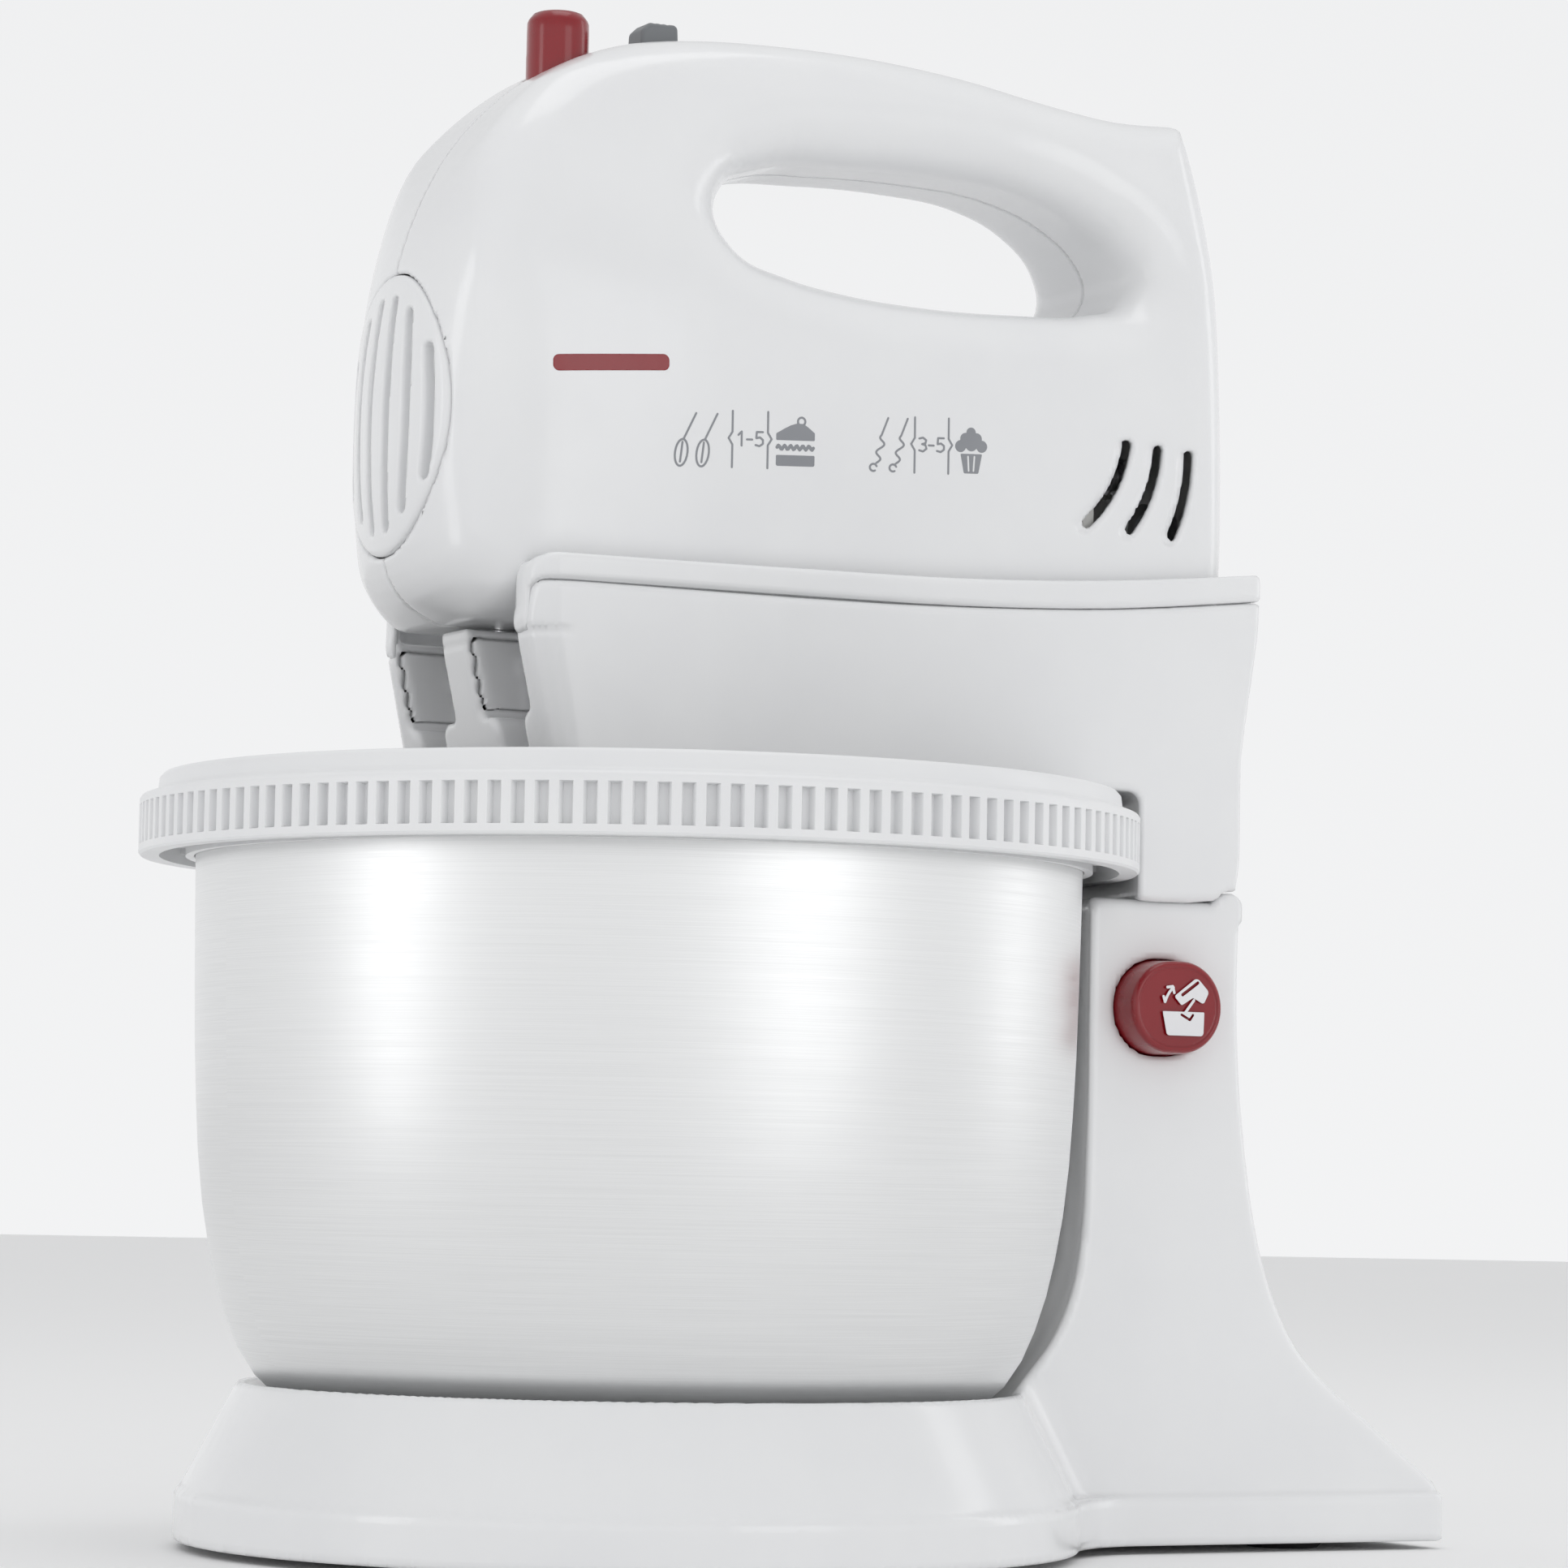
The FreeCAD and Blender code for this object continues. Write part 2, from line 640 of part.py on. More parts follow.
def arm_shell():
    block = shared(
        "arm_block",
        slab("arm_side", arm_outline(), "2 * arm_half"),
        arm_plan("arm_top_view", "0", "column_top - 1", "tray_back + 1"),
    )
    tray = arm_plan("tray_room", "wall", "tray_low", "tray_back + 1", "arm_front - 2")
    over_ring = cylinder("room_over_ring", BOWL_ROOM, "arm_low - column_top + 1", 0, 0, "column_top - 1")
    core = arm_plan("arm_core", "wall", "arm_low + 2.2", "tray_low - wall", "slot_end + wall", "arm_back - 6")
    boss = cylinder("drive_boss", "11", "tray_low - arm_low", takeoff_x(), "takeoff_side", "arm_low")
    hollow = cut("arm_hollow", core, boss)
    cover_room = arm_plan("cover_room", "wall - 0.6", "arm_low - 1", "arm_low + 2.2", "slot_end + wall")
    cover_limit = cylinder("cover_limit", f"{BOWL_ROOM} - 6", "6", 0, 0, "arm_low - 2")
    cover_seat = shared("cover_seat", cover_room, cover_limit)
    slots = [
        box(
            f"whisk_slot_{side}", "arm_front - 5", f"{sign}(slot_in + slot_out) / 2", "arm_low - 1",
            "slot_end - arm_front + 5", "slot_out - slot_in", "tray_low - arm_low + 20",
        )
        for side, sign in (("left", "-"), ("right", ""))
    ]
    chamber = cylinder("pinion_room", "pinion_r + 1", "8", takeoff_x(), "takeoff_side", "column_top + gap + 3")
    shaft_hole = cylinder("bush_hole", "bush_r", "tray_low - column_top", takeoff_x(), "takeoff_side", "column_top + 10")
    latch_room = box("latch_room", "release_out + 0.6", LATCH_SIDE, "column_top - 1", "11.8", "14", "9")
    knuckle = cylinder(
        "knuckle", "knuckle_r", "2 * (ear_in - gap)", "hinge_out", "-(ear_in - gap)", "hinge_up", "y"
    )
    ear_room = [
        cylinder(f"ear_room_{side}", "knuckle_r + gap + 0.1", "20", "hinge_out", start, "hinge_up", "y")
        for side, start in (("left", "-ear_in - 20 + gap"), ("right", "ear_in - gap"))
    ]
    bore = cylinder("knuckle_bore", "pin_r + bearing_wall", "2 * column_half", "hinge_out", "-column_half", "hinge_up", "y")
    carved = cut("arm_carved", block, tray, over_ring, hollow, cover_seat, chamber, shaft_hole, latch_room, *slots)
    body = cut("arm_shell", fuse("arm_hinged", carved, knuckle), bore, *ear_room)
    return node("arm_shell", body)


def tray_rim():
    band = slab("rim_band", [
        ("arm_front + 7", "tray_low - 3"),
        ("arm_front + 9", "tray_front - rim_high"),
        ("58", "tray_front + 1 - rim_high"),
        ("98", "tray_front + 3.3 - rim_high"),
        ("arm_back", "tray_back - rim_high"),
        ("arm_back", "tray_back"),
        ("arm_back - 19", "tray_back - 2"),
        ("87", "tray_front + 2.6"),
        ("58", "tray_front + 1"),
        ("arm_front + 3", "tray_front"),
        ("arm_front", "tray_front - 3"),
        ("arm_front + 1.5", "tray_low - 5"),
    ], "2 * arm_half")
    whole = shared("rim_whole", band, arm_plan("rim_plan", "0", "tray_low - 12", "tray_back + 1"))
    inner = arm_plan("rim_room", "wall", "tray_low - 14", "tray_back + 2", "arm_front - 3")
    return node("tray_rim", cut("tray_rim", whole, inner))


def arm_hardware():
    cover = shared(
        "cover_whole",
        arm_plan("cover_plan", "wall - 0.6 + gap", "arm_low", "arm_low + 1.9", "slot_end + wall + gap"),
        cylinder("cover_round", f"{BOWL_ROOM} - 6 - gap", "6", 0, 0, "arm_low - 2"),
    )
    spots = [("8", "-28"), ("8", "28"), ("80", "-22"), ("80", "22")]
    holes = [cylinder(f"cover_hole_{i}", "screw_r + 0.2", "6", x, y, "arm_low - 2") for i, (x, y) in enumerate(spots)]
    node("arm_cover", cut("arm_cover", cover, *holes))
    screws("cover_screws", spots, "screw_r", "10", "3", "arm_low - 1.3", "1.2")
    bushes = [
        tube(
            f"hinge_bush_{side}", "pin_r + running", "pin_r + bearing_wall", "ear_in - 1 - gap", "hinge_out", start,
            "hinge_up", "y",
        )
        for side, start in (("left", "-ear_in + gap"), ("right", "1"))
    ]
    node("hinge_bushes", group("hinge_bushes", *bushes))
    bush = tube(
        "drive_bush", "shaft_r + running", "bush_r", "tray_low - column_top - 15", takeoff_x(), "takeoff_side",
        "column_top + 13",
    )
    node("drive_bush", bush)


def bowl_drive():
    teeth = int(number("pinion_teeth"))
    tip = number("pinion_r")
    root = tip - 2.6
    pitch = 2 * math.pi / teeth
    points = []
    for i in range(teeth):
        middle = math.pi + pinion_bearing() + i * pitch
        for radius, angle in ((root, -0.17), (tip, -0.085), (tip, 0.085), (root, 0.17)):
            points.append(Vector(radius * math.cos(middle + angle), radius * math.sin(middle + angle), 0))
    gear = Part.Face(Part.makePolygon(points + points[:1])).extrude(Vector(0, 0, 4))
    gear.translate(Vector(number(takeoff_x()), number("takeoff_side"), number("column_top + 6.5")))
    shaft = Part.makeCylinder(
        number("shaft_r"), number("tray_low - column_top - 4.6"),
        Vector(number(takeoff_x()), number("takeoff_side"), number("column_top + 4.6")),
    )
    node("drive_pinion", formed("drive_pinion", gear.fuse(shaft)))
    disc = cylinder("dog_disc", "7", "1.6", takeoff_x(), "takeoff_side", "tray_low")
    lugs = box("dog_lugs", f"{takeoff_x()} - 6.5", "takeoff_side", "tray_low + 1.6", "13", "3", "2.4")
    node("drive_dog", fuse("drive_dog", disc, lugs))


# ---- hand mixer --------------------------------------------------------------------------


def curve(points):
    line = Part.BSplineCurve()
    line.interpolate(points)
    return line.toShape()


def drawn(runs, grow):
    """A flat face inside runs of points, moved outwards by grow.

    Each run ends where the next starts: two points make a straight edge and more make a curve.
    """
    corners = [point for run in runs for point in run[:-1]]
    count = len(corners)
    normal = Vector()
    for i, corner in enumerate(corners):
        normal += corner.cross(corners[(i + 1) % count])
    outward = []
    for i, corner in enumerate(corners):
        before = (corner - corners[i - 1]).cross(normal).normalize()
        after = (corners[(i + 1) % count] - corner).cross(normal).normalize()
        outward.append((before + after) * (1 / (1 + before.dot(after))))
    shifted = [corner + step * grow for corner, step in zip(corners, outward)]
    if len(runs) == 1:
        line = Part.BSplineCurve()
        line.interpolate(shifted, PeriodicFlag=True)
        return Part.Face(Part.Wire(line.toShape()))
    shifted.append(shifted[0])
    edges = []
    first = 0
    for run in runs:
        last = first + len(run) - 1
        points = shifted[first:last + 1]
        edges.append(Part.makeLine(*points) if len(points) == 2 else curve(points))
        first = last
    return Part.Face(Part.Wire(edges))


def side_face(grow):
    """Side view of the hand mixer: nose and back as one curve, rear face, flat underside."""
    low = number("tray_low + gap")
    over = [
        ("nose + 17", low), ("nose + 5", low + 10), ("nose + 1", low + 24), ("nose", low + 38),
        ("nose + 3", "top - 69"), ("nose + 9", "top - 51"), ("nose + 18.5", "top - 31"),
        ("nose + 36", "top - 14"), ("nose + 71", "top - 2"), ("nose + 95", "top"),
        ("tail - 65", "top - 3"), ("tail - 40", "top - 7.5"), ("tail - 8", "top - 11"),
    ]
    rear = [
        ("tail - 8", "top - 11"), ("tail - 3", "top - 50"), ("tail", "top - 73"),
        ("tail", low + 44), ("tail - 1", low + 20), ("tail - 8", low),
    ]
    over = [Vector(number(x), 0, number(z)) for x, z in over]
    rear = [Vector(number(x), 0, number(z)) for x, z in rear]
    return drawn([over, rear, [rear[-1], over[0]]], grow)


def plan_face(grow):
    """Top view of the hand mixer, with a round nose."""
    half = number("mixer_half")
    side = [
        ("tail", half - 15), ("tail - 3", half - 11), ("tail - 16", half - 7.2), ("tail - 56", half - 3.6),
        ("20", half - 0.6), ("nose + 48", half), ("nose + 26", half - 3.5), ("nose + 12", half - 11.5),
        ("nose + 3", half - 24),
    ]
    side = [Vector(number(x), y, 0) for x, y in side]
    far = [Vector(p.x, -p.y, 0) for p in reversed(side)]
    return drawn([side + [Vector(number("nose"), 0, 0)] + far, [far[-1], side[0]]], grow)


def front_face(grow):
    """Front view of the hand mixer, which narrows to the handle."""
    half = number("mixer_half")
    grip = number("grip_half")
    low = number("tray_low + gap")
    side = [
        (half - 6, low), (half - 2.3, low + 8), (half - 0.3, low + 24), (half, low + 48),
        (half - 1.5, low + 68), (half - 8, low + 83), (grip + 6, low + 94), (grip + 1.5, low + 103),
        (grip, low + 115), (grip - 3, number("top - 6")), (grip - 8, number("top + 0.5")),
    ]
    side = [Vector(0, y, z) for y, z in side]
    far = [Vector(0, -p.y, p.z) for p in reversed(side)]
    return drawn([side, [side[-1], far[0]], far, [far[-1], side[0]]], grow)


def hole_face(grow):
    """The finger gap under the handle, seen from the side."""
    points = [
        ("hole_front", "hole_low + 13"), ("hole_front + 12", "hole_high - 2.6"),
        ("hole_front + 32", "hole_high"), ("hole_back - 28", "hole_high"),
        ("hole_back - 7", "hole_high - 9"), ("hole_back", "hole_low + 12"),
        ("hole_back - 12", "hole_low + 4"), ("hole_back - 32", "hole_low + 0.8"),
        ("hole_front + 46", "hole_low"), ("hole_front + 22", "hole_low + 2"),
        ("hole_front + 6", "hole_low + 6"),
    ]
    points = [Vector(number(x), 0, number(z)) for x, z in points]
    return drawn([points + points[:1]], grow)


def mixer_form(inset):
    """The solid inside the hand mixer's outer skin, inset all round, less the finger gap."""
    reach = 400
    side = side_face(-inset).extrude(Vector(0, reach, 0)).translated(Vector(0, -reach / 2, 0))
    plan = plan_face(-inset).extrude(Vector(0, 0, reach))
    front = front_face(-inset).extrude(Vector(reach, 0, 0)).translated(Vector(-reach / 2, 0, 0))
    hole = hole_face(inset).extrude(Vector(0, reach, 0)).translated(Vector(0, -reach / 2, 0))
    return side.common(plan).common(front).cut(hole)


def arched_slot(x, y, low, high, wide, deep):
    """A cutter for one upright slot of a grille, with round ends."""
    radius = wide / 2
    ends = [
        Part.makeCylinder(radius, deep, Vector(x, y, z), Vector(1, 0, 0)) for z in (low + radius, high - radius)
    ]
    middle = Part.makeBox(deep, wide, high - low - wide, Vector(x, y - radius, low + radius))
    return middle.multiFuse(ends)


def grille_prism(grow):
    """The oval panel on the nose, as a prism along X."""
    oval = Part.Ellipse(Vector(number("nose - 5"), 0, number("motor_up")), 32 + grow, 27 + grow)
    oval.Axis = Vector(1, 0, 0)
    oval.XAxis = Vector(0, 0, 1)
    return Part.Face(Part.Wire(oval.toShape())).extrude(Vector(40, 0, 0))


def biggest(shape):
    return max(shape.Solids, key=lambda solid: solid.Volume)


def housing():
    outer = mixer_form(0)
    inner = mixer_form(number("wall"))
    skin = outer.cut(inner)
    low = number("tray_low")
    opened = [grille_prism(number("gap"))]
    for side in (-1, 1):
        opened.append(Part.makeCylinder(
            6.6, 20, Vector(number("spindle_out"), side * number("spindle_half"), low - 5)))
        for i in range(3):
            x = number("tail") - 28 + 8 * i
            slot = Part.makeBox(2.6, 30, 20, Vector(x, side * 40 - 15, number("motor_up") - 17))
            opened.append(slot)
    opened.append(Part.makeCylinder(8.2, 20, Vector(number(takeoff_x()), number("takeoff_side"), low - 5)))
    opened.append(Part.makeCylinder(
        number("eject_r + gap"), 40, Vector(number("eject_out"), 0, number("top - 30"))))
    track = number("slider_travel + slider_long + 3.6")
    opened.append(Part.makeBox(
        track, 10.6, 20, Vector(number("-slider_long / 2 - 1.8"), -5.3, number("top - 14"))))
    opened.append(Part.makeCylinder(
        6.4, 20, Vector(number("tail - 12"), 0, number("motor_up - 12")), Vector(1, 0, 0)))
    skin = skin.cut(Part.Compound(opened))
    for name, side in (("housing_left", -1), ("housing_right", 1)):
        half = Part.makeBox(500, 100, 400, Vector(-250, 0 if side > 0 else -100, 0))
        node(name, formed(name, biggest(skin.common(half))))
    grille = biggest(outer.cut(inner).common(grille_prism(0)))
    slots = []
    for side in (-1, 1):
        for middle, reach in ((5, 25), (14, 21), (23, 13)):
            slots.append(arched_slot(
                number("nose - 5"), side * middle, number("motor_up") - reach, number("motor_up") + reach, 3, 50))
    node("nose_grille", formed("nose_grille", grille.cut(Part.Compound(slots))))


def bulkhead(name, x, thick, holes):
    """A wall across the inside of the housing."""
    inside = mixer_form(number("wall + gap"))
    high = number("hole_low - tray_low") - 6
    wall = inside.common(Part.makeBox(thick, 200, high, Vector(x, -100, number("tray_low"))))
    return node(name, formed(name, biggest(wall).cut(Part.Compound(holes))))


def motor():
    up = number("motor_up")

    def bar(radius, start, end, y=0):
        return Part.makeCylinder(radius, end - start, Vector(start, y, up), Vector(1, 0, 0))

    seat = number("bearing_r")
    bulkhead("front_bulkhead", 6, 4, [
        bar(seat, 0, 20), bar(2.05, 0, 20, 23), bar(2.05, 0, 20, -23), Part.makeBox(20, 26, 7, Vector(0, -13, up - 42)),
    ])
    bulkhead("rear_bulkhead", 94, 3, [bar(seat, 90, 100), Part.makeBox(20, 26, 7, Vector(90, -13, up - 42))])
    for name, start, end in (("front_bearing", 5, 11), ("rear_bearing", 92.5, 98.5)):
        ring = tube(name, "shaft_r + running / 2", "bearing_r", end - start, start, 0, "motor_up", "x")
        node(name, ring)
    stack = bar(number("stator_r"), 32, 72).cut(bar(number("armature_r + air_gap"), 30, 80))
    for side in (-1, 1):
        stack = stack.cut(bar(2.1, 30, 80, side * 23))
        window = Part.makeBox(60, 22, 5, Vector(26, -11, up + side * 19 - 2.5))
        stack = stack.cut(window)
    node("motor_stator", formed("motor_stator", stack))
    coils = []
    for side in (-1, 1):
        loop = Part.makeBox(50, 21.4, 4.4, Vector(27, -10.7, up + side * 19 - 2.2))
        coils.append(loop)
    node("field_coils", formed("field_coils", Part.Compound(coils)))
    rods = []
    for side in (-1, 1):
        rod = bar(2, 3.7, 70, side * 23).fuse(bar(3.6, 2.2, 5.7, side * 23))
        rods.append(rod)
    node("motor_screws", formed("motor_screws", Part.Compound(rods)))
    holders = [
        Part.makeBox(13.5, 9, 8, Vector(80.2, 8.3 if side > 0 else -17.3, up - 4)) for side in (-1, 1)
    ]
    node("brush_holders", formed("brush_holders", Part.Compound(holders)))
    shaft = cylinder("rotor_bar", "shaft_r - running / 2", "tail - 8 - nose - 26", "nose + 26", 0, "motor_up", "x")
    front_worm = cylinder("front_worm", f"{WORM} - 1", "24", "spindle_out - 12", 0, "motor_up", "x")
    node("rotor_shaft", fuse("rotor_shaft", shaft, front_worm, rear_worm_core()))
    thread("front_thread", "spindle_out", number(WORM), 24, 6.6, 2)
    thread("rear_thread", takeoff_x(), number(TAKEOFF_WORM), 15, 2.4, 1)
    iron = bar(number("armature_r"), 34, 70).cut(bar(number("shaft_r"), 30, 80))
    for i in range(12):
        groove = Part.makeBox(40, 2, 4, Vector(33, -1, number("armature_r") - 2.8))
        groove.rotate(Vector(), Vector(1, 0, 0), 30 * i)
        groove.translate(Vector(0, 0, up))
        iron = iron.cut(groove)
    node("armature", formed("armature", iron))
    node("commutator", tube("commutator", "shaft_r", "8", "9", "81", 0, "motor_up", "x"))
    hub = bar(7, 16, 24).cut(bar(number("shaft_r"), 10, 30))
    disc = bar(20, 22.5, 24).cut(bar(6, 20, 30))
    blades = []
    for i in range(10):
        blade = Part.makeBox(6.5, 1.4, 13.5, Vector(16.5, -0.7, 6.5))
        blade.rotate(Vector(), Vector(1, 0, 0), 36 * i)
        blade.translate(Vector(0, 0, up))
        blades.append(blade)
    node("cooling_fan", formed("cooling_fan", hub.multiFuse([disc, *blades]).removeSplitter()))


def rear_worm_core():
    return cylinder("rear_worm", f"{TAKEOFF_WORM} - 1", "15", f"{takeoff_x()} - 7.5", 0, "motor_up", "x")


def thread(name, x, radius, length, lead, starts):
    """The raised helical ribs of a worm, each one a swept trapezium."""
    ribs = []
    for i in range(starts):
        path = Part.makeHelix(lead, length - 4, radius - 0.6)
        section = Part.makePolygon([
            Vector(radius - 0.95, 0, -0.65), Vector(radius, 0, -0.3), Vector(radius, 0, 0.3),
            Vector(radius - 0.95, 0, 0.65), Vector(radius - 0.95, 0, -0.65),
        ])
        rib = Part.Wire(path).makePipeShell([section], True, True)
        rib.rotate(Vector(), Vector(0, 0, 1), 360 / starts * i)
        rib.rotate(Vector(), Vector(0, 1, 0), 90)
        rib.translate(Vector(number(x) - length / 2 + 2, 0, number("motor_up")))
        ribs.append(rib)
    node(name, formed(name, Part.Compound(ribs)))


def toothed_wheel(outer, deep, teeth, high, x, y, z):
    """A worm wheel's rim, as an extruded outline of straight-sided teeth."""
    pitch = 2 * math.pi / teeth
    points = []
    for i in range(teeth):
        for radius, share in ((outer - deep, -0.3), (outer, -0.14), (outer, 0.14), (outer - deep, 0.3)):
            angle = (i + share) * pitch
            points.append(Vector(radius * math.cos(angle), radius * math.sin(angle), 0))
    rim = Part.Face(Part.makePolygon(points + points[:1])).extrude(Vector(0, 0, high))
    return rim.translated(Vector(x, y, z))


def spindles():
    up = number("motor_up")
    x = number("spindle_out")
    clear = number("gap")
    for name, side in (("left", -1), ("right", 1)):
        y = side * number("spindle_half")
        outer = number(f"spindle_half - {WORM}") - clear
        rim = toothed_wheel(outer, 1.6, 28, 8, x, y, up - 4)
        sleeve = Part.makeCylinder(number("sleeve_r"), up + 9 - number("tray_low + 3"), Vector(x, y, number("tray_low + 3")))
        bore = Part.makeCylinder(number("shaft_r + running"), 100, Vector(x, y, number("tray_low")))
        node(f"spindle_{name}", formed(f"spindle_{name}", rim.fuse(sleeve).cut(bore)))
        whisk(name, x, y, up + 15.5)
    clearance = number("sleeve_r + running")
    holes = [
        Part.makeCylinder(clearance, 40, Vector(x, side * number("spindle_half"), up - 20)) for side in (-1, 1)
    ]
    inside = mixer_form(number("wall + gap"))
    deck = inside.common(Part.makeBox(46, 200, 3, Vector(x - 24, -100, up - 12)))
    node("gear_deck", formed("gear_deck", biggest(deck).cut(Part.Compound(holes))))


def whisk(name, x, y, top):
    """A shaft with a collar and two crossed wire loops."""
    radius = number("whisk_r")
    wire = number("wire_r")
    low = number("whisk_low") + wire
    neck = low + 84
    shaft = Part.makeCylinder(number("shaft_r"), top - neck + 8, Vector(0, 0, neck - 8))
    collar = Part.makeCylinder(5.2, 4, Vector(0, 0, number("tray_low") - 9))
    ferrule = Part.makeCylinder(4.2, 12, Vector(0, 0, neck - 8))
    loops = []
    for i in range(2):
        out = radius - wire
        bottom = low + (i * 2 * wire + 0.2 * i)
        points = [
            Vector(2.4, 0, neck - 1), Vector(out * 0.55, 0, neck - 22), Vector(out, 0, neck - 52),
            Vector(out * 0.93, 0, bottom + 14), Vector(out * 0.6, 0, bottom + 3), Vector(0, 0, bottom),
        ]
        mirrored = [Vector(-p.x, 0, p.z) for p in reversed(points[:-1])]
        path = Part.Wire(curve(points + mirrored))
        start = path.Edges[0].Curve.tangent(path.Edges[0].FirstParameter)[0]
        ring = Part.Wire([Part.makeCircle(wire, points[0], start)])
        loop = path.makePipeShell([ring], True, False)
        loop.rotate(Vector(), Vector(0, 0, 1), 90 * i + 45)
        loops.append(loop)
    whole = shaft.multiFuse([collar, ferrule, *loops])
    whole.translate(Vector(x, y, 0))
    node(f"whisk_{name}", formed(f"whisk_{name}", whole))


def takeoff():
    x = number(takeoff_x())
    y = number("takeoff_side")
    up = number("motor_up")
    outer = y - number(TAKEOFF_WORM) - number("gap")
    wheel = toothed_wheel(outer, 1.2, 28, 7, x, y, up - 3.5)
    bore = Part.makeCylinder(number("shaft_r"), 30, Vector(x, y, up - 15))
    node("takeoff_wheel", formed("takeoff_wheel", wheel.cut(bore)))
    low = number("tray_low")
    long = "motor_up + 8 - tray_low - 6.4"
    node("takeoff_shaft", cylinder("takeoff_bar", "shaft_r", long, takeoff_x(), "takeoff_side", "tray_low + 6.4"))
    disc = Part.makeCylinder(7, 2, Vector(x, y, low + 4.4))
    jaws = []
    for side in (-1, 1):
        jaw = Part.makeBox(13, 4.4, 2.2, Vector(x - 6.5, y + (2 if side > 0 else -6.4), low + 2.2))
        jaws.append(jaw.common(Part.makeCylinder(7, 3, Vector(x, y, low + 2))))
    node("takeoff_dog", formed("takeoff_dog", disc.multiFuse(jaws)))
    inside = mixer_form(number("wall + gap"))
    shelf = inside.common(Part.makeBox(30, 200, 4, Vector(number("tail") - 31, -100, low + 17)))
    bore = Part.makeCylinder(number("shaft_r + running"), 20, Vector(x, y, low + 10))
    node("takeoff_shelf", formed("takeoff_shelf", biggest(shelf).cut(bore)))


def controls():
    button = fuse(
        "eject_button",
        cylinder("eject_cap", "eject_r", "18", "eject_out", 0, "eject_high - 19"),
        cone("eject_bevel", "eject_r", "eject_r - 1", "1", "eject_out", 0, "eject_high - 1"),
        cylinder("eject_stem", "3", "eject_high - 19 - motor_up - 18", "eject_out", 0, "motor_up + 18"),
    )
    node("eject_button", button)
    bar = box("eject_plate", "eject_out - 4.5", 0, "motor_up + 10.8 + eject_travel", "9", "2 * spindle_half + 8", "2.2")
    node("eject_plate", bar)
    coil = spring(4.6, 0.5, 5, 14)
    coil.translate(Vector(number("eject_out"), 0, number("top") - 57))
    node("eject_spring", formed("eject_spring", coil))
    inside = mixer_form(number("wall + gap"))
    bridge = inside.common(Part.makeBox(34, 200, 2.4, Vector(number("eject_out") - 17, -100, number("top") - 59.8)))
    hole = Part.makeCylinder(3.4, 20, Vector(number("eject_out"), 0, number("top") - 66))
    node("eject_bridge", formed("eject_bridge", biggest(bridge).cut(hole)))
    thumb = box("slider_thumb", "-slider_long / 2", 0, "top - 4.2", "slider_long", "8", "5.6")
    neck = box("slider_neck", "-2", 0, "top - 19", "4", "4.4", "15")
    node("speed_slider", fuse("speed_slider", thumb, neck))
    rail = box("slider_track", "-slider_long / 2 - 1.5", 0, "top - 7", "slider_travel + slider_long + 3", "10", "2.5")
    groove = box("slider_groove", "-2 - gap", 0, "top - 8", "slider_travel + 4 + 2 * gap", "4.4 + 2 * gap", "5")
    node("slider_rail", cut("slider_rail", rail, groove))
    block = inside.common(Part.makeBox(31, 200, 8, Vector(-7, -100, number("top") - 27.2)))
    node("switch_block", formed("switch_block", biggest(block)))
    gland = tube("cord_gland", "3.5", "6.2", "6.5", "tail - 6.8", 0, "motor_up - 12", "x")
    node("cord_gland", gland)
    node("control_board", box("control_board", "16", 0, "tray_low + gap + wall + 0.3", "70", "52", "1.6"))


base_shell()
base_plate()
feet()
stand_hardware()
release()
bowl_shell()
gear_ring()
bowl_hub()
arm_shell()
tray_rim()
arm_hardware()
bowl_drive()
housing()
motor()
spindles()
takeoff()
controls()
DOC.recompute()

for piece in DOC.Objects:
    if "Invalid" in piece.State or "Error" in piece.State:
        raise RuntimeError(f"{piece.Name} failed: {piece.State}")
for name, piece in NODES.items():
    if piece.Shape.isNull() or not piece.Shape.isValid():
        raise RuntimeError(f"{name} has no valid shape")

os.makedirs("parts", exist_ok=True)
for name, piece in NODES.items():
    piece.Shape.exportStep(f"parts/{name}.step")
print(len(NODES), "nodes")
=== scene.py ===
import bmesh
import bpy
import json
import math
import numpy as np
from mathutils import Matrix, Vector


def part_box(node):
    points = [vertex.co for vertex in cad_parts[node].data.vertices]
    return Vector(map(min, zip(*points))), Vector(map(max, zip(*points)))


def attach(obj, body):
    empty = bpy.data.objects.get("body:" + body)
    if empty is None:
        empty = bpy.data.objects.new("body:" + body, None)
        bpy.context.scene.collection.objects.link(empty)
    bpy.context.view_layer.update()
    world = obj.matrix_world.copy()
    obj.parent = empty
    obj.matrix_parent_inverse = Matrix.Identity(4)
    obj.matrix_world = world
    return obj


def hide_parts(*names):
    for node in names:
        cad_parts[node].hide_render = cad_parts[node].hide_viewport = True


# A white hand mixer docked on its tilting stand. Every length in the modelling functions is in
# millimetres, with x counted from the bowl's axis, y across and z up from the table. MM and
# bowl_x turn them into the frame's metres.

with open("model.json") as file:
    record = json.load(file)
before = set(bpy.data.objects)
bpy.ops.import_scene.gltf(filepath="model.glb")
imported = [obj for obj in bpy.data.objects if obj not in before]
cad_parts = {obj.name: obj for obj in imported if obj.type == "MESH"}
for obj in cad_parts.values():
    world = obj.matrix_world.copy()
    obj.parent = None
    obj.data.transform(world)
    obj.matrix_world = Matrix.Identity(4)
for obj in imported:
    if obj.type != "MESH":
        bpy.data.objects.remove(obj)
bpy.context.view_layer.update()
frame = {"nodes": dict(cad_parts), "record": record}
MM = 0.001
ring_low_corner, ring_high_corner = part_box("gear_ring")
bowl_x = (ring_low_corner.x + ring_high_corner.x) / 2


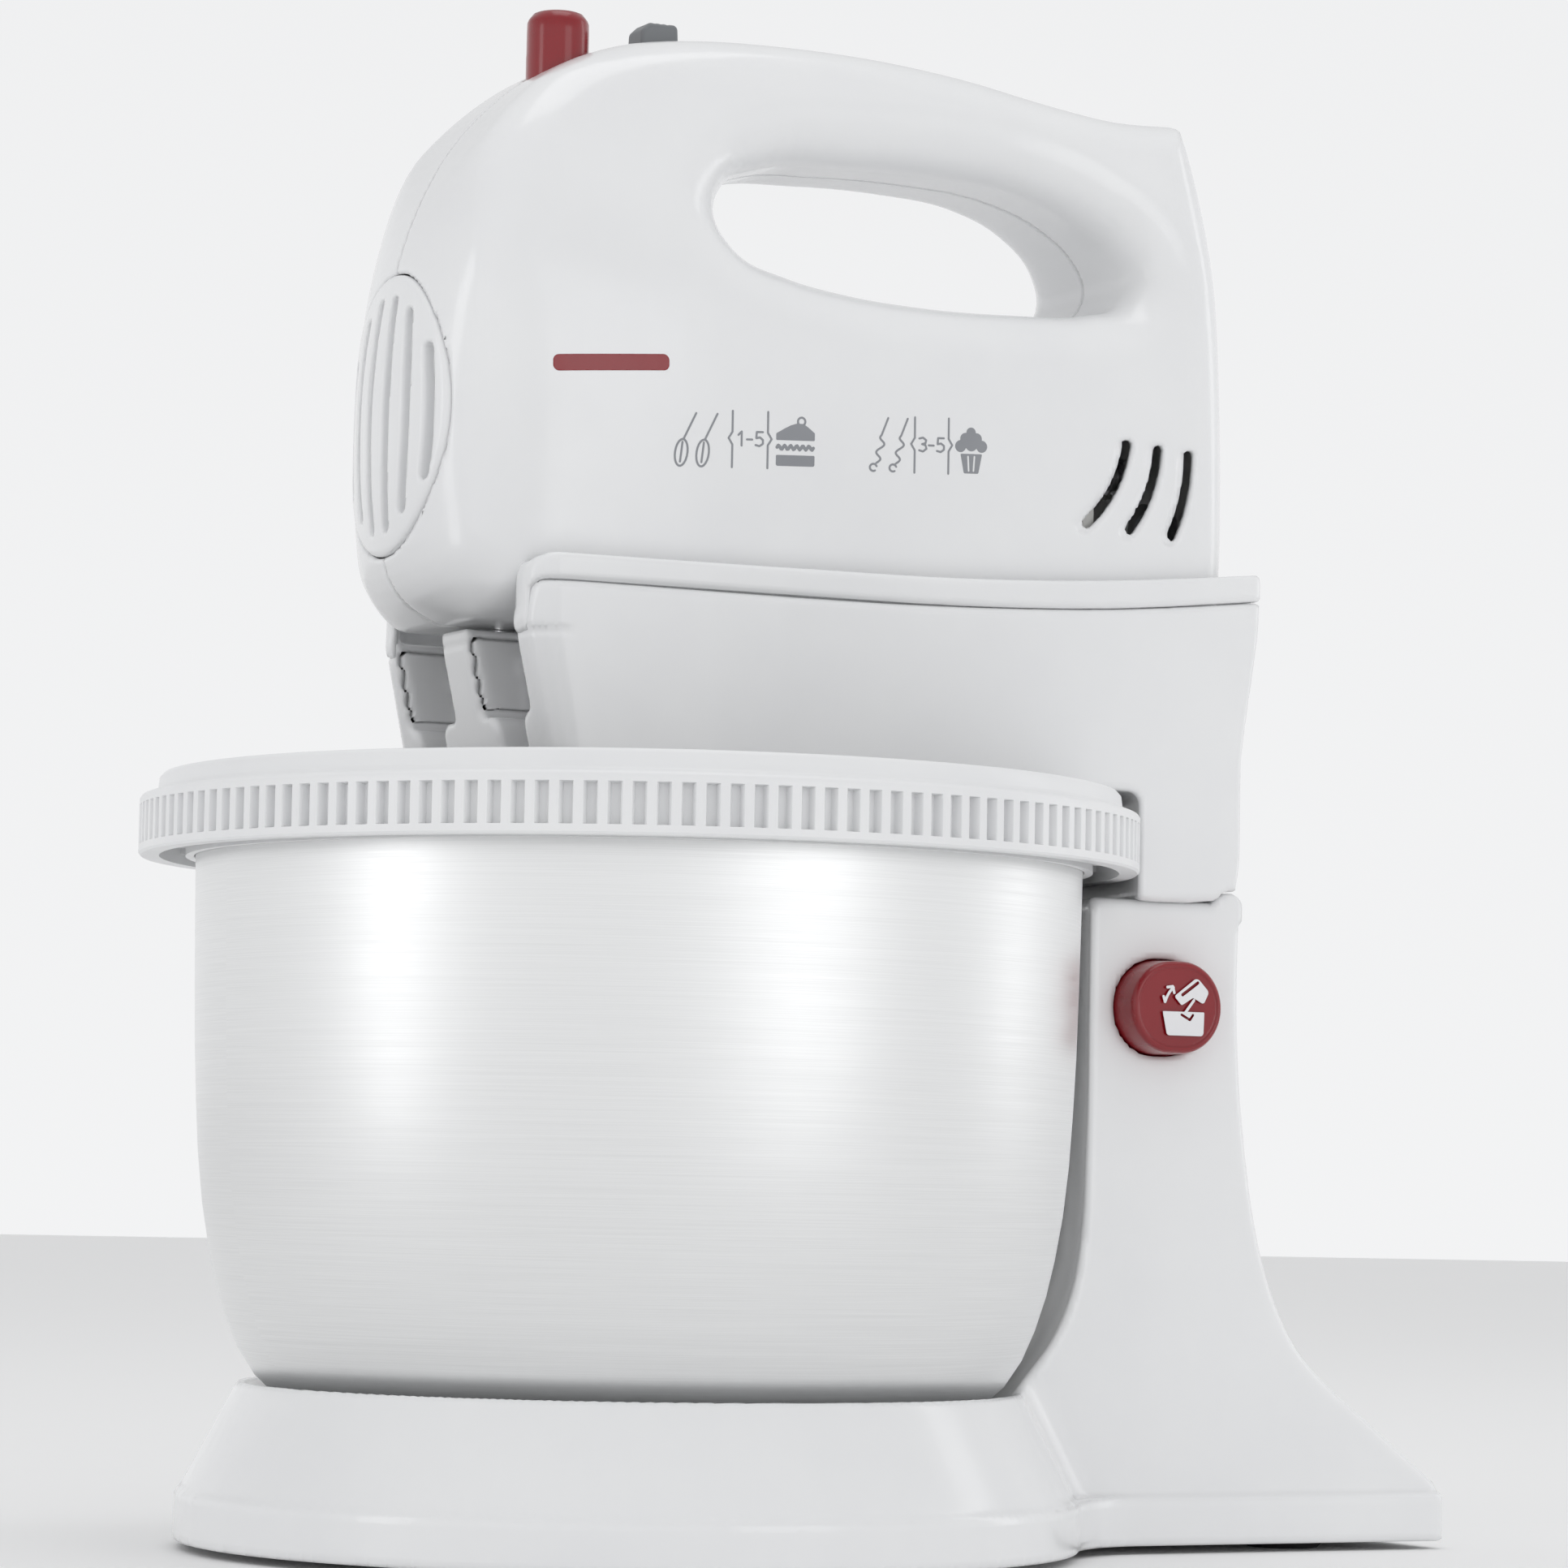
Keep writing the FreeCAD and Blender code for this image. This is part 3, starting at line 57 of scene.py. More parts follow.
def place(points):
    """Points in millimetres from the bowl's axis, as metres in the frame."""
    out = np.asarray(points, float) * MM
    out[..., 0] += bowl_x
    return out


# ---- fields of distance ------------------------------------------------------------------
# A field takes x, y, z arrays and gives the distance to a surface, negative inside.


def both(a, b, radius=0.0):
    """Where both fields are solid, with the edge between them rounded."""
    near = np.hypot(np.maximum(a + radius, 0), np.maximum(b + radius, 0))
    return np.minimum(np.maximum(a, b), -radius) + near


def either(a, b, radius=0.0):
    """Where either field is solid, with the corner between them filled."""
    return -both(-a, -b, radius)


def less(a, b, radius=0.0):
    """The first field without the second, its new edge rounded."""
    return both(a, -b, radius)


def between(value, low, high):
    """Where a value lies between two others."""
    return np.abs(value - (low + high) / 2) - (high - low) / 2


def cuboid(x, y, z, low, high, radius=0.5):
    """A box with rounded edges between two corners."""
    faces = [between(v, a, b) for v, a, b in zip((x, y, z), low, high)]
    return both(both(faces[0], faces[1], radius), faces[2], radius)


def capsule(u, v, start, end, radius):
    """A flat stroke from start to end."""
    along = (end[0] - start[0], end[1] - start[1])
    share = ((u - start[0]) * along[0] + (v - start[1]) * along[1]) / (along[0] ** 2 + along[1] ** 2)
    share = np.clip(share, 0, 1)
    return np.hypot(u - start[0] - share * along[0], v - start[1] - share * along[1]) - radius


class Outline:
    """A closed outline through points, curved except at corners, as a field over a plane.

    A point is (u, v) or (u, v, radius). With no radius the curve passes smoothly, and with one
    the corner is sharp enough to be rounded to that radius.
    """

    def __init__(self, points, steps=5):
        plain = [np.array(p[:2], float) for p in points]
        radii = [p[2] if len(p) > 2 else None for p in points]
        path = []
        count = len(points)
        for i in range(count):
            a, b, c, d = (plain[(i + k) % count] for k in (-1, 0, 1, 2))
            start_sharp = radii[i] is not None
            end_sharp = radii[(i + 1) % count] is not None
            out = (c - b) * 0.5 if start_sharp else self.slope(a, b, c) * np.linalg.norm(c - b)
            into = (c - b) * 0.5 if end_sharp else self.slope(b, c, d) * np.linalg.norm(c - b)
            straight = start_sharp and end_sharp
            for t in np.linspace(0, 1, 2 if straight else steps + 1)[:-1]:
                h = (2 * t**3 - 3 * t**2 + 1, t**3 - 2 * t**2 + t, -2 * t**3 + 3 * t**2, t**3 - t**2)
                path.append(h[0] * b + h[1] * out + h[2] * c + h[3] * into)
        self.path = self.rounded(np.array(path), plain, radii)

    @staticmethod
    def slope(a, b, c):
        """Unit direction of the curve at b, weighted towards the nearer neighbour."""
        before, after = b - a, c - b
        first, second = np.linalg.norm(before), np.linalg.norm(after)
        way = before / first**2 + after / second**2
        return way / np.linalg.norm(way)

    @staticmethod
    def rounded(path, plain, radii):
        """Cuts each sharp corner of the path with an arc."""
        out = []
        count = len(path)
        sharp = {tuple(np.round(p, 6)): r for p, r in zip(plain, radii) if r}
        for i, here in enumerate(path):
            radius = sharp.get(tuple(np.round(here, 6)))
            if not radius:
                out.append(here)
                continue
            back = path[i - 1] - here
            ahead = path[(i + 1) % count] - here
            lengths = np.linalg.norm(back), np.linalg.norm(ahead)
            back, ahead = back / lengths[0], ahead / lengths[1]
            half = math.acos(np.clip(back @ ahead, -1, 1)) / 2
            cut = min(radius / math.tan(half), 0.9 * min(lengths))
            middle = here + (back + ahead) / np.linalg.norm(back + ahead) * cut / math.cos(half)
            first, last = here + back * cut - middle, here + ahead * cut - middle
            for t in np.linspace(0, 1, 6):
                spoke = first * (1 - t) + last * t
                out.append(middle + spoke / np.linalg.norm(spoke) * np.linalg.norm(first))
        return np.array(out)

    def __call__(self, u, v):
        u, v = np.broadcast_arrays(u, v)
        shape = u.shape
        u, v = u.ravel().astype(np.float32), v.ravel().astype(np.float32)
        near = np.full(u.shape, 1e12, np.float32)
        inside = np.zeros(u.shape, bool)
        for a, b in zip(self.path, np.roll(self.path, -1, axis=0)):
            du, dv = (b - a).astype(np.float32)
            length = du * du + dv * dv
            if length < 1e-12:
                continue
            share = np.clip(((u - a[0]) * du + (v - a[1]) * dv) / length, 0, 1)
            near = np.minimum(near, (u - a[0] - share * du) ** 2 + (v - a[1] - share * dv) ** 2)
            if dv != 0:
                crosses = (a[1] <= v) != (b[1] <= v)
                inside ^= crosses & (u < a[0] + (v - a[1]) / dv * du)
        return np.where(inside, -np.sqrt(near), np.sqrt(near)).reshape(shape)


# ---- from field to mesh ------------------------------------------------------------------


def net(field, low, high, step):
    """Vertices and quads of a field's surface: one vertex in each grid cell that it crosses."""
    counts = [int(math.ceil((b - a) / step)) + 2 for a, b in zip(low, high)]
    starts = [a - step * 0.5 for a in low]
    axes = [a + step * np.arange(n) for a, n in zip(starts, counts)]
    grids = [axes[0][:, None, None], axes[1][None, :, None], axes[2][None, None, :]]
    values = np.broadcast_to(field(*grids), counts).astype(np.float32)
    cells = [n - 1 for n in counts]
    total = np.zeros(cells[0] * cells[1] * cells[2])
    spots = np.zeros((3, total.size))
    faces = []
    for axis in range(3):
        lower = [slice(None)] * 3
        upper = [slice(None)] * 3
        lower[axis], upper[axis] = slice(0, -1), slice(1, None)
        a, b = values[tuple(lower)], values[tuple(upper)]
        at = np.argwhere((a < 0) != (b < 0))
        first, second = a[tuple(at.T)], b[tuple(at.T)]
        share = first / (first - second)
        point = np.array([starts[k] + step * at[:, k] for k in range(3)])
        point[axis] += share * step
        one, two = (axis + 1) % 3, (axis + 2) % 3
        good = np.ones(len(at), bool)
        for k in (one, two):
            good &= (at[:, k] > 0) & (at[:, k] < cells[k])
        at, point, first = at[good], point[:, good], first[good]
        corners = []
        for back_one, back_two in ((0, 0), (1, 0), (1, 1), (0, 1)):
            cell = at.copy()
            cell[:, one] -= back_one
            cell[:, two] -= back_two
            index = np.ravel_multi_index(cell.T, cells)
            total += np.bincount(index, minlength=total.size)
            for k in range(3):
                spots[k] += np.bincount(index, weights=point[k], minlength=total.size)
            corners.append(index)
        quad = np.stack(corners, 1)
        flip = first > 0
        quad[flip] = quad[flip][:, ::-1]
        faces.append(quad)
    used = np.flatnonzero(total)
    number = np.full(total.size, -1)
    number[used] = np.arange(len(used))
    return (spots[:, used] / total[used]).T, number[np.concatenate(faces)]


def normals_of(points, quads):
    """Unit normals at the points, from the quads round each."""
    one, two = points[quads[:, 2]] - points[quads[:, 0]], points[quads[:, 3]] - points[quads[:, 1]]
    face = np.cross(one, two)
    out = np.zeros_like(points)
    for k in range(4):
        for axis in range(3):
            out[:, axis] += np.bincount(quads[:, k], weights=face[:, axis], minlength=len(points))
    return out / np.maximum(np.linalg.norm(out, axis=1), 1e-12)[:, None]


def evened(points, quads, times):
    """Points drawn towards the average of their faces' corners, which evens the mesh."""
    for _ in range(times):
        total = np.zeros_like(points)
        count = np.zeros(len(points))
        middle = points[quads].mean(1)
        for k in range(4):
            count += np.bincount(quads[:, k], minlength=len(points))
            for axis in range(3):
                total[:, axis] += np.bincount(quads[:, k], weights=middle[:, axis], minlength=len(points))
        points = points * 0.4 + total / count[:, None] * 0.6
    return points


def carved(name, field, low, high, step, body, material, replaces=()):
    """A piece meshed from a field between two corners, drawn onto its exact surface."""
    points, quads = net(field, low, high, step)
    points = evened(points, quads, 2)
    start = points
    longest_move = step * 0.7
    for _ in range(3):
        normal = normals_of(points, quads)
        gap = field(points[:, 0], points[:, 1], points[:, 2])
        points = points - normal * np.clip(gap, -step, step)[:, None] * 0.9
        moved = points - start
        far = np.linalg.norm(moved, axis=1)[:, None]
        points = start + moved * np.minimum(1, longest_move / np.maximum(far, 1e-9))
    return piece(name, points, quads, body, material, replaces)


def piece(name, points, faces, body, material, replaces=(), smooth=True):
    """A mesh object from points in millimetres, riding on a body."""
    mesh = bpy.data.meshes.new(name)
    mesh.from_pydata(place(points).tolist(), [], [list(map(int, f)) for f in faces])
    mesh.validate()
    mesh.update()
    if smooth:
        mesh.polygons.foreach_set("use_smooth", [True] * len(mesh.polygons))
    thing = bpy.data.objects.new(name, mesh)
    bpy.context.scene.collection.objects.link(thing)
    mesh.materials.append(material)
    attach(thing, body)
    if replaces:
        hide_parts(*replaces)
    return thing


def turned(name, profile, body, material, replaces=(), centre=(0, 0), count=192, angle=35):
    """A closed ring of (radius, height) points turned round a vertical axis."""
    spin = np.linspace(0, 2 * math.pi, count, endpoint=False)
    points = []
    index = []
    for radius, height in profile:
        if radius < 1e-6:
            index.append([len(points)] * count)
            points.append((centre[0], centre[1], height))
            continue
        index.append(list(range(len(points), len(points) + count)))
        points += [(centre[0] + radius * math.cos(a), centre[1] + radius * math.sin(a), height) for a in spin]
    faces = []
    rows = len(profile)
    for i in range(rows):
        j = (i + 1) % rows
        if profile[i][0] < 1e-6 and profile[j][0] < 1e-6:
            continue
        for k in range(count):
            n = (k + 1) % count
            corners = (index[i][k], index[i][n], index[j][n], index[j][k])
            face = list(dict.fromkeys(corners))
            faces.append(face)
    thing = piece(name, points, faces, body, material, replaces)
    tidy_normals(thing)
    soften(thing, angle)


def tidy_normals(thing):
    """Joins points that meet and turns every face outwards."""
    work = bmesh.new()
    work.from_mesh(thing.data)
    bmesh.ops.remove_doubles(work, verts=work.verts, dist=1e-7)
    bmesh.ops.recalc_face_normals(work, faces=work.faces)
    work.to_mesh(thing.data)
    work.free()


def soften(thing, angle=35):
    """Smooth shading that keeps edges sharper than the angle."""
    thing.data.set_sharp_from_angle(angle=math.radians(angle))


# ---- materials ---------------------------------------------------------------------------


def material(name):
    """A new node material with its nodes, links and shader."""
    made = bpy.data.materials.new(name)
    made.use_nodes = True
    nodes = made.node_tree.nodes
    return made, nodes, made.node_tree.links, nodes["Principled BSDF"]


def add(nodes, kind, **values):
    """A new node with the values given to its inputs or settings."""
    node = nodes.new(kind)
    for key, value in values.items():
        if key in node.inputs:
            node.inputs[key].default_value = value
        else:
            setattr(node, key, value)
    return node


def ramp(nodes, links, source, low, high):
    """Maps a noise from 0.3..0.7 to low..high."""
    spread = add(nodes, "ShaderNodeMapRange")
    spread.inputs["From Min"].default_value = 0.3
    spread.inputs["From Max"].default_value = 0.7
    spread.inputs["To Min"].default_value = low
    spread.inputs["To Max"].default_value = high
    links.new(source, spread.inputs["Value"])
    return spread.outputs[0]


def moulded(name, colour, deep, rough, spread, grain=0.25, coat=0.0, bump=0.02):
    """Moulded plastic: a slight mottle in colour, gloss that varies, and a fine surface ripple."""
    made, nodes, links, shader = material(name)
    place_at = add(nodes, "ShaderNodeTexCoord")
    cloud = add(nodes, "ShaderNodeTexNoise", Scale=28.0, Detail=4.0)
    fine = add(nodes, "ShaderNodeTexNoise", Scale=1400.0, Detail=2.0)
    broad = add(nodes, "ShaderNodeTexNoise", Scale=90.0, Detail=3.0)
    for texture in (cloud, fine, broad):
        links.new(place_at.outputs["Object"], texture.inputs["Vector"])
    mix = add(nodes, "ShaderNodeMix", data_type="RGBA")
    mix.inputs[6].default_value = (*colour, 1)
    mix.inputs[7].default_value = (*deep, 1)
    links.new(ramp(nodes, links, cloud.outputs["Fac"], 0.0, 1.0), mix.inputs[0])
    links.new(mix.outputs[2], shader.inputs["Base Color"])
    links.new(ramp(nodes, links, broad.outputs["Fac"], rough, rough + spread), shader.inputs["Roughness"])
    lift = add(nodes, "ShaderNodeBump", Strength=grain, Distance=bump * MM)
    links.new(fine.outputs["Fac"], lift.inputs["Height"])
    links.new(lift.outputs["Normal"], shader.inputs["Normal"])
    shader.inputs["Coat Weight"].default_value = coat
    shader.inputs["Coat Roughness"].default_value = 0.08
    shader.inputs["IOR"].default_value = 1.5
    return made


def brushed(name, colour, rough, spread, across=(1.0, 1.0, 60.0), aniso=0.5, centre=True):
    """Spun or drawn metal: fine lines run round the axis, with a few deeper scratches."""
    made, nodes, links, shader = material(name)
    place_at = add(nodes, "ShaderNodeTexCoord")
    split = add(nodes, "ShaderNodeSeparateXYZ")
    shift = add(nodes, "ShaderNodeVectorMath", operation="SUBTRACT")
    shift.inputs[1].default_value = (bowl_x if centre else 0, 0, 0)
    links.new(place_at.outputs["Object"], shift.inputs[0])
    links.new(shift.outputs[0], split.inputs[0])
    turn = add(nodes, "ShaderNodeMath", operation="ARCTAN2")
    links.new(split.outputs["Y"], turn.inputs[0])
    links.new(split.outputs["X"], turn.inputs[1])
    radius = add(nodes, "ShaderNodeMath", operation="MULTIPLY")
    radius.inputs[1].default_value = 0.02
    links.new(turn.outputs[0], radius.inputs[0])
    join = add(nodes, "ShaderNodeCombineXYZ")
    links.new(radius.outputs[0], join.inputs["X"])
    links.new(split.outputs["Z"], join.inputs["Z"])
    flat = add(nodes, "ShaderNodeVectorMath", operation="LENGTH")
    level = add(nodes, "ShaderNodeVectorMath", operation="MULTIPLY")
    level.inputs[1].default_value = (1, 1, 0)
    links.new(shift.outputs[0], level.inputs[0])
    links.new(level.outputs[0], flat.inputs[0])
    links.new(flat.outputs["Value"], join.inputs["Y"])
    stretch = add(nodes, "ShaderNodeVectorMath", operation="MULTIPLY")
    stretch.inputs[1].default_value = across
    links.new(join.outputs[0], stretch.inputs[0])
    lines = add(nodes, "ShaderNodeTexNoise", Scale=120.0, Detail=5.0)
    cloud = add(nodes, "ShaderNodeTexNoise", Scale=20.0, Detail=3.0)
    links.new(stretch.outputs[0], lines.inputs["Vector"])
    links.new(place_at.outputs["Object"], cloud.inputs["Vector"])
    tint = add(nodes, "ShaderNodeMix", data_type="RGBA")
    tint.inputs[6].default_value = (*colour, 1)
    tint.inputs[7].default_value = (*[c * 0.93 for c in colour], 1)
    links.new(ramp(nodes, links, lines.outputs["Fac"], 0.0, 1.0), tint.inputs[0])
    links.new(tint.outputs[2], shader.inputs["Base Color"])
    wear = add(nodes, "ShaderNodeMath", operation="ADD")
    links.new(ramp(nodes, links, lines.outputs["Fac"], rough, rough + spread), wear.inputs[0])
    links.new(ramp(nodes, links, cloud.outputs["Fac"], 0.0, spread * 0.5), wear.inputs[1])
    links.new(wear.outputs[0], shader.inputs["Roughness"])
    lift = add(nodes, "ShaderNodeBump", Strength=0.12, Distance=0.02 * MM)
    links.new(lines.outputs["Fac"], lift.inputs["Height"])
    links.new(lift.outputs["Normal"], shader.inputs["Normal"])
    shader.inputs["Metallic"].default_value = 1.0
    shader.inputs["Anisotropic"].default_value = aniso
    return made


WHITE = moulded("white gloss plastic", (0.86, 0.865, 0.87), (0.83, 0.835, 0.845), 0.16, 0.10, coat=0.25)
WHITE_SATIN = moulded("white ring plastic", (0.85, 0.855, 0.86), (0.82, 0.825, 0.835), 0.28, 0.12)
RED = moulded("red gloss plastic", (0.27, 0.004, 0.010), (0.22, 0.003, 0.008), 0.16, 0.12, coat=0.3)
GREY = moulded("grey plastic", (0.20, 0.21, 0.22), (0.16, 0.17, 0.18), 0.32, 0.14, grain=0.5)
INNER = moulded("natural plastic", (0.62, 0.62, 0.60), (0.54, 0.54, 0.52), 0.45, 0.15, grain=0.5)
RUBBER = moulded("soft rubber", (0.05, 0.05, 0.052), (0.035, 0.035, 0.037), 0.6, 0.2, grain=0.8, bump=0.06)
BOARD = moulded("circuit board", (0.03, 0.16, 0.06), (0.02, 0.12, 0.05), 0.35, 0.15)
PRINT = moulded("grey print", (0.30, 0.31, 0.33), (0.26, 0.27, 0.29), 0.4, 0.1)
PRINT_WHITE = moulded("white print", (0.85, 0.85, 0.86), (0.80, 0.80, 0.82), 0.35, 0.1)
STEEL_BOWL = brushed("satin steel bowl", (0.88, 0.885, 0.885), 0.30, 0.10)
STEEL = brushed("turned steel", (0.62, 0.62, 0.64), 0.22, 0.12, (1, 60, 60), 0.3, False)
WIRE = brushed("plated wire", (0.82, 0.82, 0.84), 0.08, 0.08, (8, 8, 8), 0.0, False)
BRASS = brushed("sintered brass", (0.62, 0.45, 0.20), 0.35, 0.15, (8, 8, 8), 0.0, False)
COPPER = brushed("enamelled copper", (0.55, 0.22, 0.10), 0.25, 0.12, (60, 8, 60), 0.2, False)
IRON = brushed("stacked laminations", (0.22, 0.22, 0.24), 0.4, 0.15, (90, 2, 2), 0.2, False)

SLOT_MATERIALS = {
    "white_plastic": WHITE, "inner_plastic": INNER, "red_plastic": RED, "grey_plastic": GREY,
    "bowl_steel": STEEL_BOWL, "steel": STEEL, "wire_chrome": WIRE, "copper": COPPER, "brass": BRASS,
    "iron": IRON, "rubber": RUBBER, "board": BOARD,
}


def dress_nodes():
    """Gives each CAD node its slot's material."""
    for part in frame["record"]["subparts"]:
        thing = frame["nodes"][part["node"]]
        finish = SLOT_MATERIALS[part["material_slot"]]
        for slot in thing.material_slots:
            slot.material = finish
        if not thing.material_slots:
            thing.data.materials.append(finish)


# ---- hand mixer --------------------------------------------------------------------------

SKIN = 2.4  # wall of the moulded shells
NOSE_BACK = -20  # the nose panel and its oval lie in front of this x
EJECT_X = -24.5
SPINDLE_X, SPINDLE_Y = -25, 20
CORD_Z = 236
SIDE = Outline([
    (-51, 201.8, 10), (-64, 211), (-68.6, 226), (-69.8, 242), (-68.8, 258), (-66, 272), (-59.6, 289),
    (-49.6, 308), (-39.6, 319), (-31, 325.6), (-15.5, 332.6), (5, 337.2), (24, 338.8), (46, 338.7),
    (71, 335.9), (96, 331.3), (112, 329.3), (129.5, 330, 4), (132.4, 312), (136, 290), (138.6, 266),
    (139.8, 246), (139.6, 225), (137.5, 210), (133, 201.8, 5),
])
PLAN_HALF = [
    (-68, 11), (-63, 22), (-54, 31), (-42, 36.6), (-23, 39.6), (10, 39.8), (50, 38.6), (85, 36.6),
    (112, 34.6), (130, 32),
]
PLAN = Outline(
    [(-69.8, 0)] + PLAN_HALF + [(137.6, 26), (139.8, 14), (139.8, -14), (137.6, -26)]
    + [(x, -y) for x, y in PLAN_HALF[::-1]]
)
FRONT_HALF = [
    (35.5, 204), (37.9, 214), (39.6, 228), (40, 246), (39.2, 262), (37, 276), (33.5, 290), (29, 304),
    (24.6, 317), (20, 330),
]
FRONT = Outline(
    [(33, 201.4)] + FRONT_HALF + [(14, 339.5), (0, 341.5), (-14, 339.5)]
    + [(-y, z) for y, z in FRONT_HALF[::-1]] + [(-33, 201.4)]
)
GRIP = Outline([
    (5, 294), (8.5, 302.5), (20, 308.4), (40, 310.6), (62, 311), (80, 309.6), (95, 304.5), (104, 297.5),
    (107, 290.5), (104, 284.5), (94, 281), (75, 279.3), (54, 278.8), (36, 279.8), (20, 282.6), (9, 287),
])
GRIP_SHRINK = 0.95  # the finger gap is the outline stretched by its inverse


def body_field(x, y, z):
    """The outer skin of the hand mixer, handle and finger gap included."""
    form = both(both(SIDE(x, z), PLAN(x, y), 13), FRONT(y, z), 9)
    return less(form, GRIP(42 + (x - 44) * GRIP_SHRINK, z), 15)


def oval_field(y, z):
    """The outline of the panel of vents on the nose."""
    tall, wide, middle = 31.0, 25.0, 247
    bent = np.hypot(y / wide, (z - middle) / tall)
    return (bent - 1) * wide


def slat_field(y, z):
    """The six upright slots of the nose panel, bowed with its outline."""
    radius = 1.45
    out = None
    for middle, half, centre in ((4.4, 26, 247), (12.6, 22.5, 247), (20.2, 15, 246)):
        bow = middle * (1 - 0.22 * ((z - centre) / 27.0) ** 2)
        past = np.maximum(np.abs(z - centre) - (half - 1.5), 0)
        stroke = np.hypot(np.abs(y) - bow, past) - radius
        out = stroke if out is None else np.minimum(out, stroke)
    return out


def bowed(u, v, start, end, bend, radius, pieces=6):
    """A stroke along a shallow arc, given by how far its middle stands off the straight."""
    start, end = np.array(start, float), np.array(end, float)
    along = end - start
    off = np.array((along[1], -along[0])) / np.linalg.norm(along) * bend
    spots = [start + along * t + off * 4 * t * (1 - t) for t in np.linspace(0, 1, pieces + 1)]
    field = None
    for first, last in zip(spots, spots[1:]):
        stroke = capsule(u, v, first, last, radius)
        field = stroke if field is None else np.minimum(field, stroke)
    return field


# Each slot's top end, bottom end and bend.
VENTS = [
    ((104.6, 250.2), (94.0, 231.6), -1.9),
    ((113.2, 249.8), (105.6, 231.0), -1.6),
    ((121.6, 249.2), (117.2, 230.6), -1.1),
]
VENT_RADIUS = 1.2


def side_vents(x, z, grow=0.0, shift=(0.0, 0.0)):
    """The three curved slots at the rear of each side."""
    strokes = [bowed(x - shift[0], z - shift[1], *vent, VENT_RADIUS + grow) for vent in VENTS]
    return np.minimum(np.minimum(strokes[0], strokes[1]), strokes[2])


takeoff_low, takeoff_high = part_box("takeoff_shaft")
takeoff_x = ((takeoff_low.x + takeoff_high.x) / 2 - bowl_x) / MM
takeoff_y = (takeoff_low.y + takeoff_high.y) / 2 / MM


def from_takeoff(x, y):
    """How far a point lies from the take-off shaft's axis."""
    return np.hypot(x - takeoff_x, y - takeoff_y)


def housing_field(x, y, z):
    """The hand mixer's shell with its vents and the holes for what passes through it."""
    form = body_field(x, y, z)
    wall = less(form, form + SKIN, 0.4)
    nose = both(oval_field(y, z), x - NOSE_BACK)
    wall = less(wall, nose - 0.25, 0.6)
    outside = 20 - np.abs(y)
    wall = less(wall, both(side_vents(x, z), outside), 0.4)
    taper = both(side_vents(x, z, 0.7, (-1.3, -0.7)), outside)
    wall = less(wall, both(taper, -(form + 0.8)), 0.4)
    for side in (-SPINDLE_Y, SPINDLE_Y):
        wall = less(wall, both(np.hypot(x - SPINDLE_X, y - side) - 6.6, z - 215), 0.5)
    wall = less(wall, both(from_takeoff(x, y) - 8.2, z - 215), 0.5)
    wall = less(wall, both(np.hypot(x - EJECT_X, y) - 7.35, 300 - z), 0.5)
    wall = less(wall, cuboid(x, y, z, (-6.3, -5.3, 325), (26.3, 5.3, 350)), 0.4)
    return less(wall, both(np.hypot(y, z - CORD_Z) - 6.4, 120 - x), 0.4)


def half_housing_field(x, y, z, side):
    """One half of the shell, just short of the parting plane."""
    return both(housing_field(x, y, z), 0.03 - side * y, 0.35)


def nose_field(x, y, z):
    """The slotted oval panel on the nose."""
    form = body_field(x, y, z)
    plate = both(form - 0.5, -(form + 6.0), 0.5)
    plate = both(plate, both(oval_field(y, z), x - NOSE_BACK), 0.9)
    slot = both(slat_field(y, z), -(form + 4.2))
    return less(plate, slot, 0.6)


def hand_mixer():
    for name, side in (("housing_left", -1), ("housing_right", 1)):
        low = (-68, -42 if side < 0 else -1, 199)
        high = (138, 1 if side < 0 else 42, 342)
        carved(
            "skin_" + name, lambda x, y, z, side=side: half_housing_field(x, y, z, side), low, high, 1.0,
            "mixer", WHITE, (name,),
        )
    carved(
        "nose_panel", nose_field, (-69, -29, 214), (-40, 29, 280), 0.7,
        "mixer", WHITE, ("nose_grille",),
    )


# ---- controls on the hand mixer ----------------------------------------------------------


def slider_field(x, y, z):
    """The speed slider: a ridged thumb piece on a neck."""
    crown = Outline([
        (-5.6, 334.9, 0.6), (-5.4, 338.8, 1.4), (-3.4, 340.7, 1.0), (3.6, 340.8, 1.2), (3.9, 334.9, 0.6),
    ])
    grip = both(crown(x, z), np.abs(y) - 3.9, 1.0)
    for ridge in (-2.2, -0.6, 1.0):
        grip = less(grip, capsule(x, z, (ridge, 341.1), (ridge, 341.6), 0.5), 0.2)
    neck = cuboid(x, y, z, (-2, -2.2, 320), (2, 2.2, 336), 0.4)
    return either(grip, neck, 0.3)


def controls():
    profile = [
        (0, 340.6), (4.9, 340.6), (5.6, 340.3), (6.6, 339.0), (6.9, 338.2), (6.95, 336), (6.95, 331.2),
        (7.0, 330.4), (7.0, 322), (3, 322), (3, 266), (0, 266),
    ]
    turned(
        "eject_cap", profile, "eject", RED, ("eject_button",),
        centre=(EJECT_X, 0), count=96, angle=40,
    )
    carved(
        "slider_thumb", slider_field, (-6, -5, 318), (6, 5, 342), 0.4,
        "speed", GREY, ("speed_slider",),
    )


# ---- print -------------------------------------------------------------------------------


def lines(paths, radius):
    """A field of strokes along paths of points."""

    def field(u, v):
        out = None
        for path in paths:
            for start, end in zip(path, path[1:]):
                stroke = capsule(u, v, start, end, radius)
                out = stroke if out is None else np.minimum(out, stroke)
        return out

    return field


def ring_path(middle, wide, high, count=20, first=0.0, last=360.0):
    """Points round an oval, or round part of it between two angles."""
    angles = np.radians(np.linspace(first, last, count))
    return [(middle[0] + wide * math.cos(a), middle[1] + high * math.sin(a)) for a in angles]


